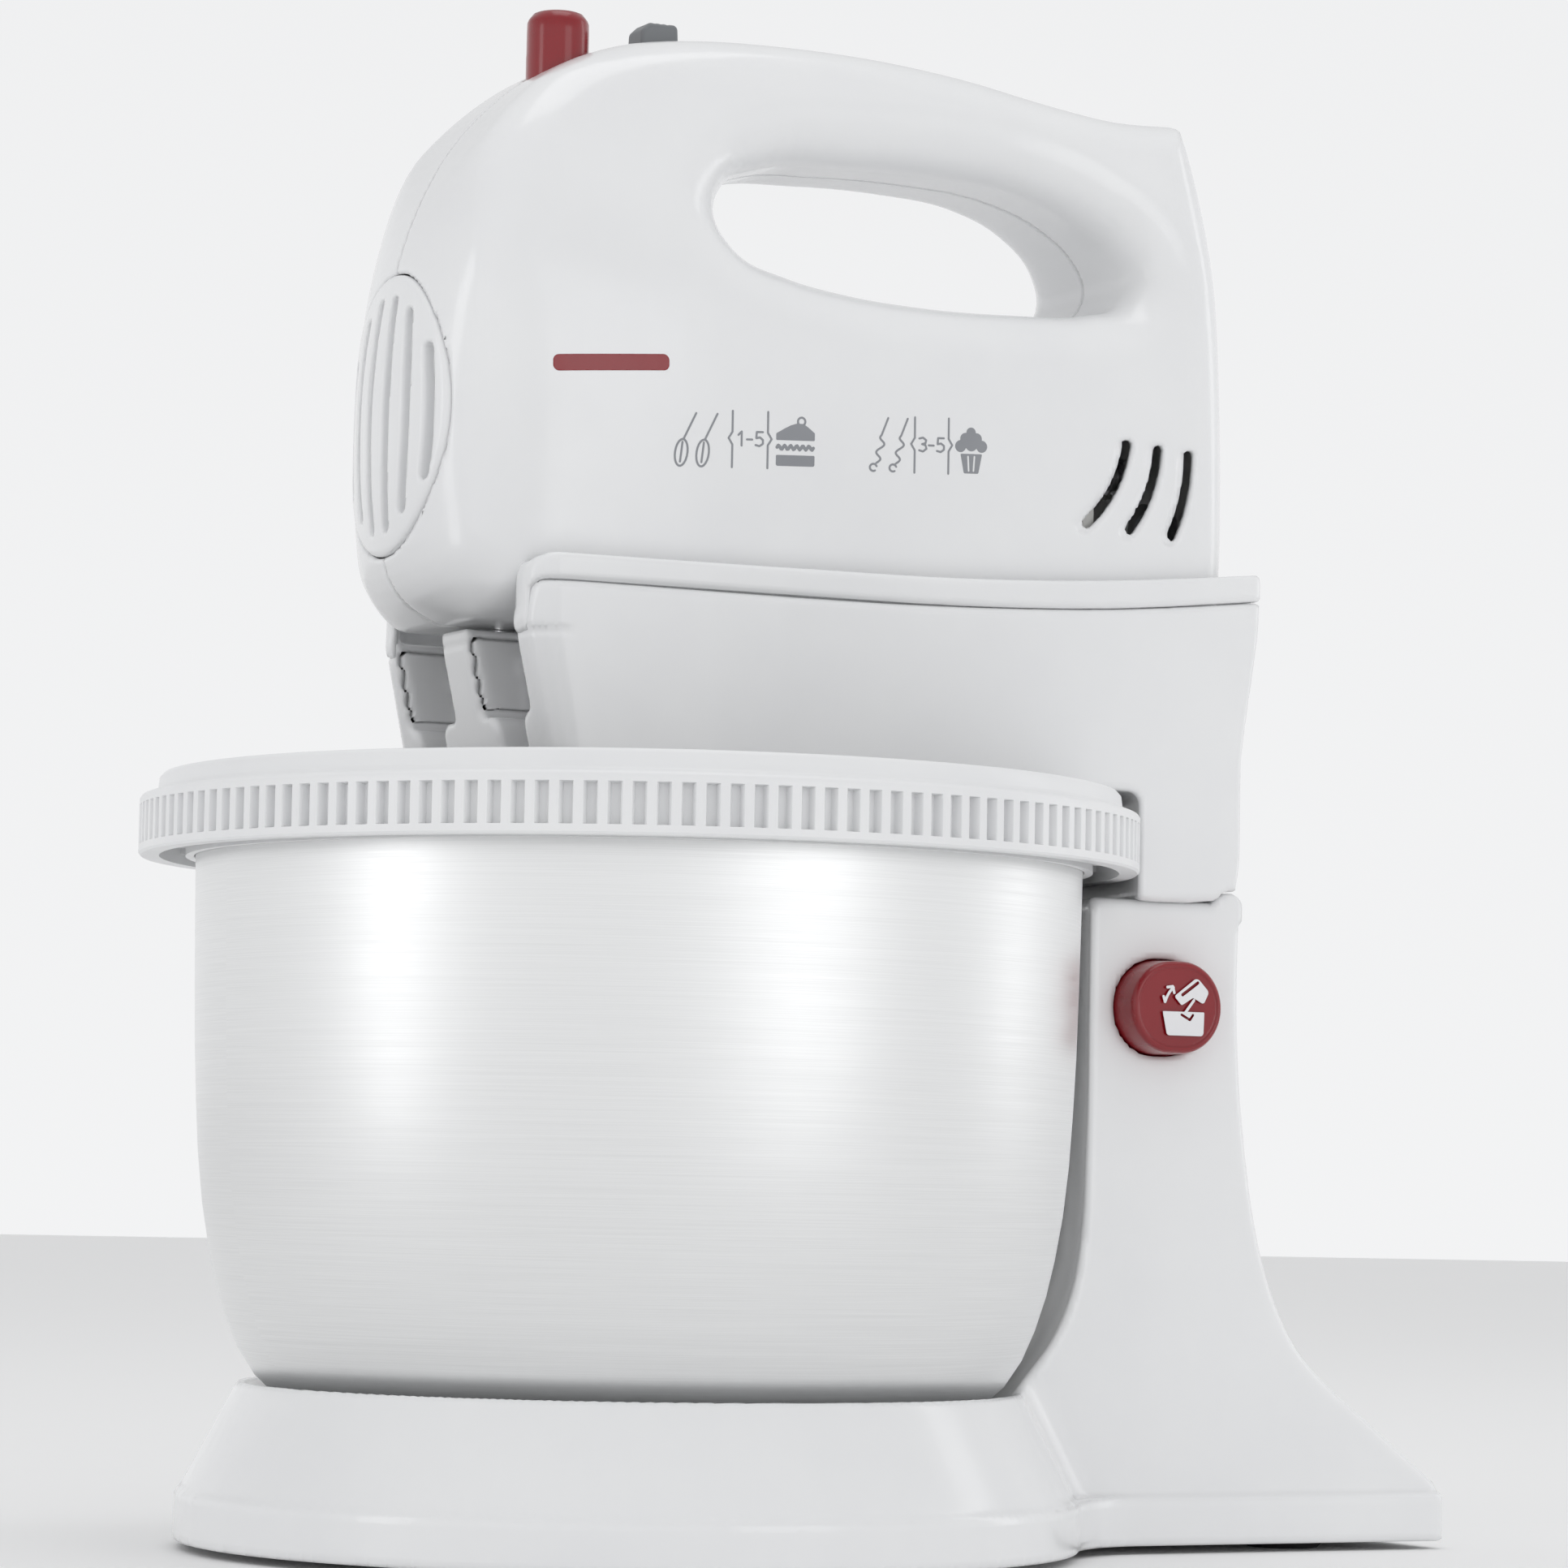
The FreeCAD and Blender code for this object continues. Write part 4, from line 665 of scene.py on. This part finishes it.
PRINT_LIFT = 0.05  # how far the print stands off its surface
PRINT_ROOT = 0.03  # how far it reaches below it


def printed(name, field, low, high, step, height_of, body, finish):
    """A thin layer of print: the inside of a flat field, laid on a surface y = height_of(x, z)."""
    columns = int((high[0] - low[0]) / step) + 2
    rows = int((high[1] - low[1]) / step) + 2
    u = low[0] + step * np.arange(columns)
    v = low[1] + step * np.arange(rows)
    values = field(u[:, None], v[None, :])
    index = {}
    flat = []
    faces = []

    def spot(key, at):
        if key not in index:
            index[key] = len(flat)
            flat.append(at)
        return index[key]

    inked = values < 0
    touched = inked[:-1, :-1] | inked[1:, :-1] | inked[1:, 1:] | inked[:-1, 1:]
    for i, j in np.argwhere(touched):
        corners = [(i, j), (i + 1, j), (i + 1, j + 1), (i, j + 1)]
        face = []
        for here, there in zip(corners, corners[1:] + corners[:1]):
            a, b = values[here], values[there]
            if a < 0:
                face.append(spot((here,), (u[here[0]], v[here[1]])))
            if (a < 0) != (b < 0):
                share = a / (a - b)
                across = u[here[0]] * (1 - share) + u[there[0]] * share
                over = v[here[1]] * (1 - share) + v[there[1]] * share
                face.append(spot(tuple(sorted((here, there))), (across, over)))
        if len(face) > 2:
            faces.append(face)
    flat = np.array(flat)
    y = height_of(flat[:, 0], flat[:, 1]) - PRINT_LIFT
    thing = piece(name, np.stack((flat[:, 0], y, flat[:, 1]), 1), faces, body, finish)
    thick = thing.modifiers.new("thickness", "SOLIDIFY")
    thick.thickness = (PRINT_LIFT + PRINT_ROOT) * MM
    thick.offset = -1


def skin_height(x, z):
    """Where the near side of the hand mixer's skin lies."""
    y = np.full(len(x), -46.0)
    for _ in range(60):
        y = y + np.maximum(body_field(x, y, z), 0) * 0.5
    return y


def figure(digit, at, size):
    """Strokes of a plain number, as printed on a dial."""
    shapes = {
        "1": [[(0.1, 0.75), (0.35, 1), (0.35, 0)]],
        "3": [[
            (0, 0.93), (0.3, 1), (0.55, 0.82), (0.5, 0.6), (0.22, 0.53), (0.5, 0.46), (0.58, 0.2), (0.3, 0),
            (0, 0.08),
        ]],
        "5": [[
            (0.55, 1), (0.08, 1), (0.05, 0.56), (0.32, 0.62), (0.56, 0.45), (0.56, 0.17), (0.3, 0), (0, 0.07),
        ]],
        "-": [[(0.05, 0.45), (0.45, 0.45)]],
    }
    return [[(at[0] + x * size, at[1] + y * size) for x, y in path] for path in shapes[digit]]


def whisk_paths(x):
    """Strokes of a small whisk: its loop, its stem and a wire inside the loop."""
    tip_x, tip_z = x - 1.3, 240.6
    loop = [
        (
            tip_x + 1.1 * math.sin(a) * 1.25 + 0.55 * (1 - math.cos(a)),
            tip_z + 2.9 * (1 - math.cos(a)) - 0.5 * math.sin(a),
        )
        for a in np.linspace(0, 2 * math.pi, 22)
    ]
    stem = [(tip_x + 1.0, tip_z + 5.8), (tip_x + 3.9, tip_z + 11.6)]
    wire = [(tip_x + 0.3, tip_z + 0.9), (tip_x + 0.8, tip_z + 5.2)]
    return [loop, stem, wire]


def hook_paths(x):
    """Strokes of a small dough hook: a wavy shank, its stem and the curl at its foot."""
    shank = [(x + 1.6 + 0.28 * z + 0.75 * math.sin(z * 1.9), 242.5 + z) for z in np.linspace(0, 6.2, 26)]
    return [shank, [shank[-1], (x + 4.4, 252.6)], ring_path((x + 0.9, 241.5), 0.85, 0.8, 12, 20, 300)]


def brace_path(x, way):
    """An upright line with a point at its middle."""
    return [(x, 253), (x, 248.4), (x - 0.9 * way, 247), (x, 245.6), (x, 240.6)]


def side_print():
    """Grey pictures on the side: whisks for speeds 1 to 5 and hooks for speeds 3 to 5."""
    thin = []
    for x in (-9.6, -4.6):
        thin += whisk_paths(x)
    for x, way in ((1.6, 1), (10.0, -1), (45.6, 1), (54.0, -1)):
        thin.append(brace_path(x, way))
    for digits, x in (("1-5", 2.7), ("3-5", 46.7)):
        for digit in digits:
            thin += figure(digit, (x, 245.4), 3.1)
            x += 2.2
    for x in (34.6, 39.4):
        thin += hook_paths(x)
    cherry = ring_path((18.0, 251.1), 0.9, 0.9, 14)
    stroke = lines(thin + [cherry], 0.23)
    slice_top = Outline([
        (12.0, 248.4, 0.3), (18.2, 250.6), (21.2, 248.6, 0.3), (21.2, 246.9, 0.2), (12.0, 246.9, 0.2),
    ])
    slice_foot = Outline([(12.0, 243.6, 0.2), (21.2, 243.6, 0.2), (21.2, 241.2, 0.4), (12.0, 241.2, 0.4)])
    cream = lines([[(12.2 + 0.3 * k, 245.3 + 0.45 * math.sin(k * 1.3)) for k in range(30)]], 0.36)
    cup = Outline([(57.0, 245.2, 0.2), (62.4, 245.2, 0.2), (61.5, 240.8, 0.3), (57.9, 240.8, 0.3)])
    folds = lines([[(58.9, 244.6), (59.1, 241.4)], [(60.5, 244.6), (60.3, 241.4)]], 0.22)
    puffs = [
        (57.0, 246.9, 1.35), (59.7, 247.3, 1.5), (62.3, 246.9, 1.35), (58.2, 248.6, 1.3), (61.0, 248.6, 1.3),
        (59.6, 250.0, 1.15),
    ]

    def field(u, v):
        """The pictures, with their row widened and sloped as it is on the curved side."""
        u = (u - 0.4) / 1.04
        v = v + 4.0 - 0.056 * u
        out = np.minimum(stroke(u, v), cream(u, v))
        for shape in (slice_top, slice_foot):
            out = np.minimum(out, shape(u, v))
        out = np.minimum(out, np.maximum(cup(u, v), -folds(u, v)))
        for x, z, r in puffs:
            out = np.minimum(out, np.hypot(u - x, v - z) - r)
        return out

    fineness = 0.14
    printed(
        "side_print", field, (-14, 233), (70, 254), fineness, skin_height, "mixer", PRINT,
    )
    stripe = Outline([(-40.5, 254.4, 1.3), (-13.5, 256.6, 1.3), (-13.5, 260.2, 1.3), (-40.5, 258.0, 1.3)])
    printed(
        "side_stripe", stripe, (-43, 252), (-11, 263), 0.25, skin_height, "mixer", RED,
    )


BUTTON_X, BUTTON_Z = 114, 122.5
BUTTON_FACE = -44.0


def release_print():
    """A white picture of the hand mixer tipped up over its bowl."""
    bowl_shape = Outline([(-5.6, -1.2, 0.2), (5.4, -1.2, 0.2), (5.2, -6.6, 0.8), (-4.4, -6.6, 0.8)])
    head = Outline([
        (-2.6, 2.2, 0.5), (3.4, 6.6, 1.2), (6.6, 3.4, 1.0), (5.2, 0.6, 0.6), (2.4, 2.0, 0.6),
        (-0.6, 0.2, 0.4),
    ])
    gap = lines([[(-0.4, 2.6), (3.6, 5.4)]], 0.38)
    strokes = lines([
        ring_path((0.2, -1.0), 5.4, 6.2, 8, 124, 160), [(-3.0, 4.4), (-2.6, 3.0)], [(-3.0, 4.4), (-4.4, 4.2)],
        [(-5.0, 0.9), (-5.4, 2.1)], [(0.2, -1.6), (2.6, 1.4)],
    ], 0.32)
    notch = lines([[(-0.6, -1.9), (1.6, -3.0), (2.4, -1.9)]], 0.3)

    def field(u, v):
        u, v = u - 115.2, v - 122.7
        bowl_part = np.maximum(bowl_shape(u, v), -notch(u, v))
        mixer_part = np.maximum(head(u, v), -gap(u, v))
        return np.minimum(np.minimum(bowl_part, mixer_part), strokes(u, v))

    printed(
        "release_print", field, (107, 114), (123, 131), 0.16, lambda x, z: np.full(len(x), BUTTON_FACE),
        "release", PRINT_WHITE,
    )


# ---- arm ---------------------------------------------------------------------------------

HINGE_X, HINGE_Z = 132, 145
HINGE_R = 4.2
SLOT_HALF_WIDTH = 32.4  # the arm's front is open this far to each side
ARM_SIDE = Outline([
    (-40.6, 171, 13), (90, 171, 0), (90, 147.4, 0), (129, 147.4), (133.2, 148.2, 1.5), (134.4, 156),
    (134.5, 170), (134.7, 180), (136, 190), (138, 202), (139.8, 211), (140.4, 216.4, 0), (98, 211.9),
    (58, 209.6), (-36, 208.8, 2), (-45.4, 208.6, 2.5), (-47.2, 197), (-45.2, 189),
])
RIM_SIDE = Outline([
    (-45.6, 197.4, 0.6), (-45.6, 208.9, 2.6), (20, 209.2, 0), (58, 209.8), (98, 212.0),
    (140.4, 216.7, 0.6), (140.5, 222.8, 2.2), (122, 220.8), (87, 217.6), (58, 216), (19, 215.2),
    (-47.3, 214.7, 6), (-47.3, 203, 2), (-49, 199, 1.5), (-49, 197.4, 0.6),
])
ARM_EDGE = [(-47.2, 42.4, 8), (30, 42.4), (80, 40), (110, 38.2), (140.6, 36.8, 5)]
ARM_PLAN = Outline(ARM_EDGE + [(x, -y, *rest) for x, y, *rest in ARM_EDGE[::-1]])


def from_hinge(x, z):
    """How far a point lies from the arm's hinge axis."""
    return np.hypot(x - HINGE_X, z - HINGE_Z)


def arm_plan(x, y, z):
    """The arm's plan, whose front leans back towards its underside."""
    lean = np.clip(200 - z, 0, 30) * 0.21 * np.clip((20 - x) / 60, 0, 1)
    return ARM_PLAN(x - lean, y)


def arm_field(x, y, z):
    """The arm's shell: an open tray with slots in front, hollow below, and knuckles at its hinge."""
    plan = arm_plan(x, y, z)
    form = both(ARM_SIDE(x, z), plan, 1.4)
    form = less(form, both(plan + SKIN, 201 - z, 1.0), 0.6)
    front = cuboid(x, y, z, (-70, -SLOT_HALF_WIDTH, 200.9), (-24, SLOT_HALF_WIDTH, 240), 0.8)
    form = less(form, front, 0.6)
    ring_room = both(np.hypot(x, y) - 113.2, z - 171.0, 3.0)
    form = less(form, ring_room, 1.2)
    for side in (-1, 1):
        slot = cuboid(x, side * y, z, (-70, 7, 181.5), (-8, 32, 230), 1.6)
        channel = cuboid(x, side * y, z, (-70, 14.5, 150), (-8, 27.5, 230), 1.2)
        form = less(form, either(slot, channel, 3.5), 1.7)
    under = both(both(plan + SKIN, between(z, 173.2, 198.4), 1.0), -5.4 - x, 1.0)
    under = both(under, ARM_SIDE(x, z) + SKIN, 1.0)
    under = less(under, from_takeoff(x, y) - 11, 0.5)
    form = less(form, under, 0.5)
    seam = both(np.abs(z - 197.8) - 0.3, both(-plan - 0.6, x + 38))
    form = less(form, seam, 0.2)
    cover_seat = both(both(plan + 2.0, np.hypot(x, y) - 107.2), both(z - 173.2, -5.4 - x))
    form = less(form, cover_seat, 0.3)
    form = less(form, both(from_takeoff(x, y) - 11.0, between(z, 150.2, 158.4)), 0.3)
    form = less(form, both(from_takeoff(x, y) - 6.5, 156 - z), 0.3)
    latch_slot = cuboid(x, y, z, (114.6, -21, 140), (126.4, -7, 156), 0.3)
    form = less(form, latch_slot, 0.3)
    hinge = from_hinge(x, z)
    form = either(form, both(hinge - HINGE_R, np.abs(y) - 29.7, 0.4), 1.0)
    form = less(form, both(hinge - 4.7, 29.7 - np.abs(y)), 0.3)
    return less(form, hinge - 3.7, 0.2)


def rim_field(x, y, z):
    """The tray's rim, with a short leg at each side of the open front."""
    plan = arm_plan(x, y, z)
    band = both(RIM_SIDE(x, z), plan - 0.15, 1.2)
    band = less(band, plan + SKIN, 0.7)
    front = cuboid(x, y, z, (-70, -SLOT_HALF_WIDTH, 190), (-24, SLOT_HALF_WIDTH, 240), 0.8)
    return less(band, front, 0.6)


def arm():
    carved(
        "skin_arm", arm_field, (-48, -43.5, 139), (142, 43.5, 217), 1.0,
        "arm", WHITE, ("arm_shell",),
    )
    carved(
        "rim_band", rim_field, (-49, -43.5, 194), (142, 43.5, 223), 0.8,
        "arm", WHITE, ("tray_rim",),
    )


# ---- stand -------------------------------------------------------------------------------

DECK = Outline([
    (-120, 1.6, 0), (99.4, 1.6, 0.8), (98.6, 12.7, 1.6), (86.2, 36.5, 1.6), (84.2, 36.5, 0.8), (74, 25.5, 3),
    (66, 20, 2), (-120, 20, 0),
])
MAST = Outline([
    (50, 1.6, 0), (192.2, 1.6, 0.8), (191.9, 12.8, 1.2), (190.6, 15.4, 1), (170, 31), (159.6, 39),
    (153, 45.5), (148, 53.5), (143.4, 65), (140.6, 76), (138, 92), (136.3, 108), (135.6, 125),
    (136, 147, 1.0), (50, 147, 0),
])
HOLLOW = Outline([
    (-130, 20, 0), (66, 20, 2), (74, 25.5, 3), (86, 37.5), (94, 47.5), (98.6, 58), (100.8, 70), (101.8, 90),
    (102, 120), (102, 160, 0), (-130, 160, 0),
])
BASE_WALL = 2.6
MAST_HALF_WIDTH = 36


def base_field(x, y, z):
    """The stand's shell: a round dished deck that runs into a tail and a column."""
    radius = np.hypot(x, y)
    around = radius - 99.5
    tail = both(both(np.abs(y) - 37.6, x - 192.2, 3.0), -x)
    plan = either(around, tail, 16)
    skirt = both(both(plan, between(z, 1.6, 12.9), 1.2), -plan - 20)
    deck = DECK(radius, z)
    mast = both(MAST(x, z), np.abs(y) - MAST_HALF_WIDTH, 3.0)
    mast = both(mast, 60 - x)
    form = either(deck, mast, 7)
    form = either(form, skirt, 0.6)
    form = less(form, HOLLOW(radius, z), 1.4)
    form = both(form, 1.6 - z, 0.8)
    core = both(form + BASE_WALL, z - 200)
    open_core = both(either(core, both(plan + BASE_WALL, z - 4.5)), plan + BASE_WALL)
    form = less(form, open_core, 0.3)
    hinge = from_hinge(x, z)
    form = less(form, both(hinge - 4.7, np.abs(y) - 29.8), 0.3)
    ears = both(both(hinge - HINGE_R, x - 135.8), both(np.abs(y) - 35.9, 30 - np.abs(y), 0.3))
    form = either(form, ears, 0.3)
    button = stadium(x, z, 0.35)
    form = less(form, both(button, y + 30), 0.4)
    latch_slot = cuboid(x, y, z, (117.6, -20.4, 140), (125.5, -7.6, 150), 0.2)
    return less(form, latch_slot, 0.2)


def stadium(x, z, grow=0.0):
    """The outline of the release button."""
    half, radius = 1.35, 10.65
    return np.hypot(np.maximum(np.abs(x - BUTTON_X) - half, 0), z - BUTTON_Z) - radius - grow


def release_field(x, y, z):
    """The release button: a tapered cap with a shallow dish, on a flange inside the column."""
    outline = stadium(x, z)
    draft = (y + 36) * 0.04
    cap = both(outline - np.minimum(draft, 0), BUTTON_FACE - y, 1.6)
    cap = both(cap, y + 28.4)
    rim = less(cap, both(outline + 1.7, y + 43.4), 0.5)
    flange = both(outline - 0.8, between(y, -33.1, -31.1), 0.3)
    return either(rim, flange, 0.2)


def stand():
    carved(
        "skin_base", base_field, (-101, -101, 0), (194, 101, 151), 1.3,
        "stand", WHITE, ("base_shell",),
    )
    carved(
        "release_cap", release_field, (100, -45, 108), (128, -27, 137), 0.45,
        "release", RED, ("release_button",),
    )


# ---- bowl --------------------------------------------------------------------------------


def bowl():
    """The steel bowl, turned from the profile of its outside, with the sheet's thickness inside."""
    wall = [
        (0, 25.4), (30, 25.4), (54, 25.5), (60, 25.9), (66, 27.3), (72, 29.7), (78, 33.4), (82.6, 37.6),
        (86.4, 43.4), (89.2, 50), (91.6, 57.6), (93.4, 65.6), (95, 75), (96.2, 86), (96.9, 97), (97.5, 110),
        (97.9, 125), (98.2, 140), (98.4, 152), (98.4, 162),
    ]
    inside = [(r - 1.1, z + (1.1 if r < 60 else 0.75 if r < 84 else 0.2)) for r, z in wall[1:]]
    profile = wall + inside[::-1] + [(0, 26.5)]
    turned("bowl_skin", profile, "bowl", STEEL_BOWL, ("bowl_shell",), count=256, angle=50)


RIBS = 140
WEBS = 28


def ring():
    """The gear ring: a ribbed band between two flanges, a lip above and a webbed channel below."""
    phase = math.asin(takeoff_y / math.hypot(takeoff_x, takeoff_y))
    pitch = 2 * math.pi / RIBS
    outer, deep = 110.95, 2.5
    rib = [
        (-0.5, outer - deep), (-0.31, outer - deep), (-0.25, outer - 0.4), (-0.2, outer),
        (0.2, outer), (0.25, outer - 0.4), (0.31, outer - deep),
    ]
    columns = []
    for i in range(RIBS):
        middle = phase + (i + 0.5) * pitch
        for share, radius in rib:
            columns.append((middle + share * pitch, radius))
    count = len(columns)
    spin = np.array([a for a, _ in columns])
    groove = np.array([r for _, r in columns])
    full = np.full(count, outer)
    foot = [(np.full(count, 106.4), 151.0)]
    band = [
        (full - 0.5, 151.0), (full, 151.5), (full, 153.0), (groove, 153.2), (groove, 161.6), (full, 161.8),
        (full, 163.2), (full - 0.4, 163.8), (full - 1.2, 164.1),
    ]
    lip_and_channel = [
        (108.0, 164.3), (107.3, 164.8), (107.0, 165.6), (106.7, 167.9), (105.9, 168.8), (104.8, 169.0),
        (98.0, 169.0), (96.6, 168.6), (96.0, 167.6), (96.0, 163.8), (96.4, 163.3), (98.6, 163.3),
        (98.6, 151.4), (98.8, 151.0), (100.6, 151.0), (100.6, 161.9), (106.4, 161.9),
    ]
    rows = foot + band + [(np.full(count, radius), height) for radius, height in lip_and_channel]
    points = [
        (radius[k] * math.cos(spin[k]), radius[k] * math.sin(spin[k]), height)
        for radius, height in rows for k in range(count)
    ]
    faces = []
    for i in range(len(rows)):
        j = (i + 1) % len(rows)
        for k in range(count):
            n = (k + 1) % count
            faces.append((i * count + k, i * count + n, j * count + n, j * count + k))
    thing = piece("ribbed_ring", points, faces, "bowl", WHITE_SATIN, ("gear_ring",))
    tidy_normals(thing)
    soften(thing, 38)


def ring_webs():
    """Thin upright webs across the channel under the ring."""
    sides = [(0, 1, 3, 2), (4, 6, 7, 5), (0, 4, 5, 1), (2, 3, 7, 6), (0, 2, 6, 4), (1, 5, 7, 3)]
    points = []
    faces = []
    for i in range(WEBS):
        angle = 2 * math.pi / WEBS * i
        corners = [(r, s, z) for r in (100.4, 106.6) for s in (-0.7, 0.7) for z in (153.4, 162.1)]
        start = len(points)
        for r, s, z in corners:
            x = r * math.cos(angle) - s * math.sin(angle)
            y = r * math.sin(angle) + s * math.cos(angle)
            points.append((x, y, z))
        faces += [tuple(start + corner for corner in side) for side in sides]
    web = piece("ring_webs", points, faces, "bowl", WHITE_SATIN, smooth=False)
    tidy_normals(web)


# ---- floor, light and camera -------------------------------------------------------------


AZIMUTH = math.radians(26)  # the camera looks this far round from straight across
SIDEWAYS = Vector((math.cos(AZIMUTH), -math.sin(AZIMUTH), 0))
AWAY = Vector((math.sin(AZIMUTH), math.cos(AZIMUTH), 0))


def stage():
    """A wide pale floor in strips across the camera's view."""
    size, strips = 6.0, 12
    mesh = bpy.data.meshes.new("floor")
    steps = [-size + 2 * size * i / strips for i in range(strips + 1)]
    verts = [AWAY * step + SIDEWAYS * side for step in steps for side in (-size, size)]
    faces = [(2 * i, 2 * i + 1, 2 * i + 3, 2 * i + 2) for i in range(strips)]
    mesh.from_pydata([tuple(v) for v in verts], [], faces)
    mesh.polygons.foreach_set("use_smooth", [True] * len(faces))
    floor = bpy.data.objects.new("floor", mesh)
    bpy.context.scene.collection.objects.link(floor)
    made, nodes, links, shader = material("pale floor")
    place_at = add(nodes, "ShaderNodeTexCoord")
    cloud = add(nodes, "ShaderNodeTexNoise", Scale=4.0, Detail=3.0)
    links.new(place_at.outputs["Object"], cloud.inputs["Vector"])
    links.new(ramp(nodes, links, cloud.outputs["Fac"], 0.55, 0.65), shader.inputs["Roughness"])
    shader.inputs["Base Color"].default_value = (0.93, 0.93, 0.93, 1)
    shader.inputs["Specular IOR Level"].default_value = 0.2
    mesh.materials.append(made)


def panel(name, aim, offset, size, power):
    """A rectangular soft light at an offset (right, away, up) from the object, facing it."""
    data = bpy.data.lights.new(name, "AREA")
    data.shape = "RECTANGLE"
    data.size, data.size_y = size
    data.energy = power
    lamp = bpy.data.objects.new(name, data)
    lamp.location = Vector(aim) + SIDEWAYS * offset[0] + AWAY * offset[1] + Vector((0, 0, offset[2]))
    lamp.rotation_euler = (Vector(aim) - lamp.location).to_track_quat("-Z", "Y").to_euler()
    bpy.context.scene.collection.objects.link(lamp)


def lights():
    """A pale studio sky, darker in a band above the horizon, and soft panels round the object."""
    world = bpy.data.worlds.new("studio")
    world.use_nodes = True
    nodes, links = world.node_tree.nodes, world.node_tree.links
    place_at = add(nodes, "ShaderNodeTexCoord")
    split = add(nodes, "ShaderNodeSeparateXYZ")
    shade = add(nodes, "ShaderNodeValToRGB")
    links.new(place_at.outputs["Generated"], split.inputs[0])
    links.new(split.outputs["Z"], shade.inputs["Fac"])
    tones = ((0.0, 0.96), (0.26, 0.93), (0.46, 0.66), (1.0, 0.86))
    for _ in tones[2:]:
        shade.color_ramp.elements.new(0.5)
    for stop, (spot, tone) in zip(shade.color_ramp.elements, tones):
        stop.position = spot
        stop.color = (tone, tone * 1.004, tone * 1.012, 1)
    links.new(shade.outputs["Color"], nodes["Background"].inputs["Color"])
    nodes["Background"].inputs["Strength"].default_value = 0.93
    bpy.context.scene.world = world
    middle = (0.0, 0.0, 0.2)
    panel("left_strip", middle, (-1.35, -0.72, 0.25), (0.34, 0.9), 1.5)
    panel("bowl_panel", middle, (1.0, -1.25, 0.15), (0.7, 1.1), 2.3)
    panel("front_panel", middle, (-0.5, -2.4, 0.9), (3.0, 1.6), 1.8)
    panel("top_panel", middle, (0.1, 0.0, 1.6), (1.0, 0.9), 3.0)
    panel("right_strip", middle, (1.5, 0.5, 0.4), (0.3, 1.2), 1.2)


def camera():
    """The camera stands low in front of the nose's left side and looks slightly up."""
    reach, height = 1.179, 0.0803
    pitch, roll, pan = (math.radians(angle) for angle in (4.36, 1.02, 1.54))
    up = Vector((0, 0, 1))
    ahead = (SIDEWAYS * math.sin(pan) + AWAY * math.cos(pan)) * math.cos(pitch) + up * math.sin(pitch)
    right = SIDEWAYS * math.cos(pan) - AWAY * math.sin(pan)
    over = right.cross(ahead)
    leaned_right = right * math.cos(roll) + over * math.sin(roll)
    leaned_over = over * math.cos(roll) - right * math.sin(roll)
    data = bpy.data.cameras.new("camera")
    data.sensor_width = 36
    data.lens = 121.7702
    data.clip_start, data.clip_end = 0.05, 50
    eye = bpy.data.objects.new("camera", data)
    turn = Matrix((leaned_right, leaned_over, -ahead)).transposed().to_4x4()
    eye.matrix_world = Matrix.Translation(Vector((bowl_x, 0, height)) - AWAY * reach) @ turn
    bpy.context.scene.collection.objects.link(eye)
    bpy.context.scene.camera = eye


camera()
dress_nodes()
hand_mixer()
controls()
side_print()
release_print()
arm()
stand()
bowl()
ring()
ring_webs()
stage()
lights()
bpy.context.scene.view_settings.view_transform = "Standard"
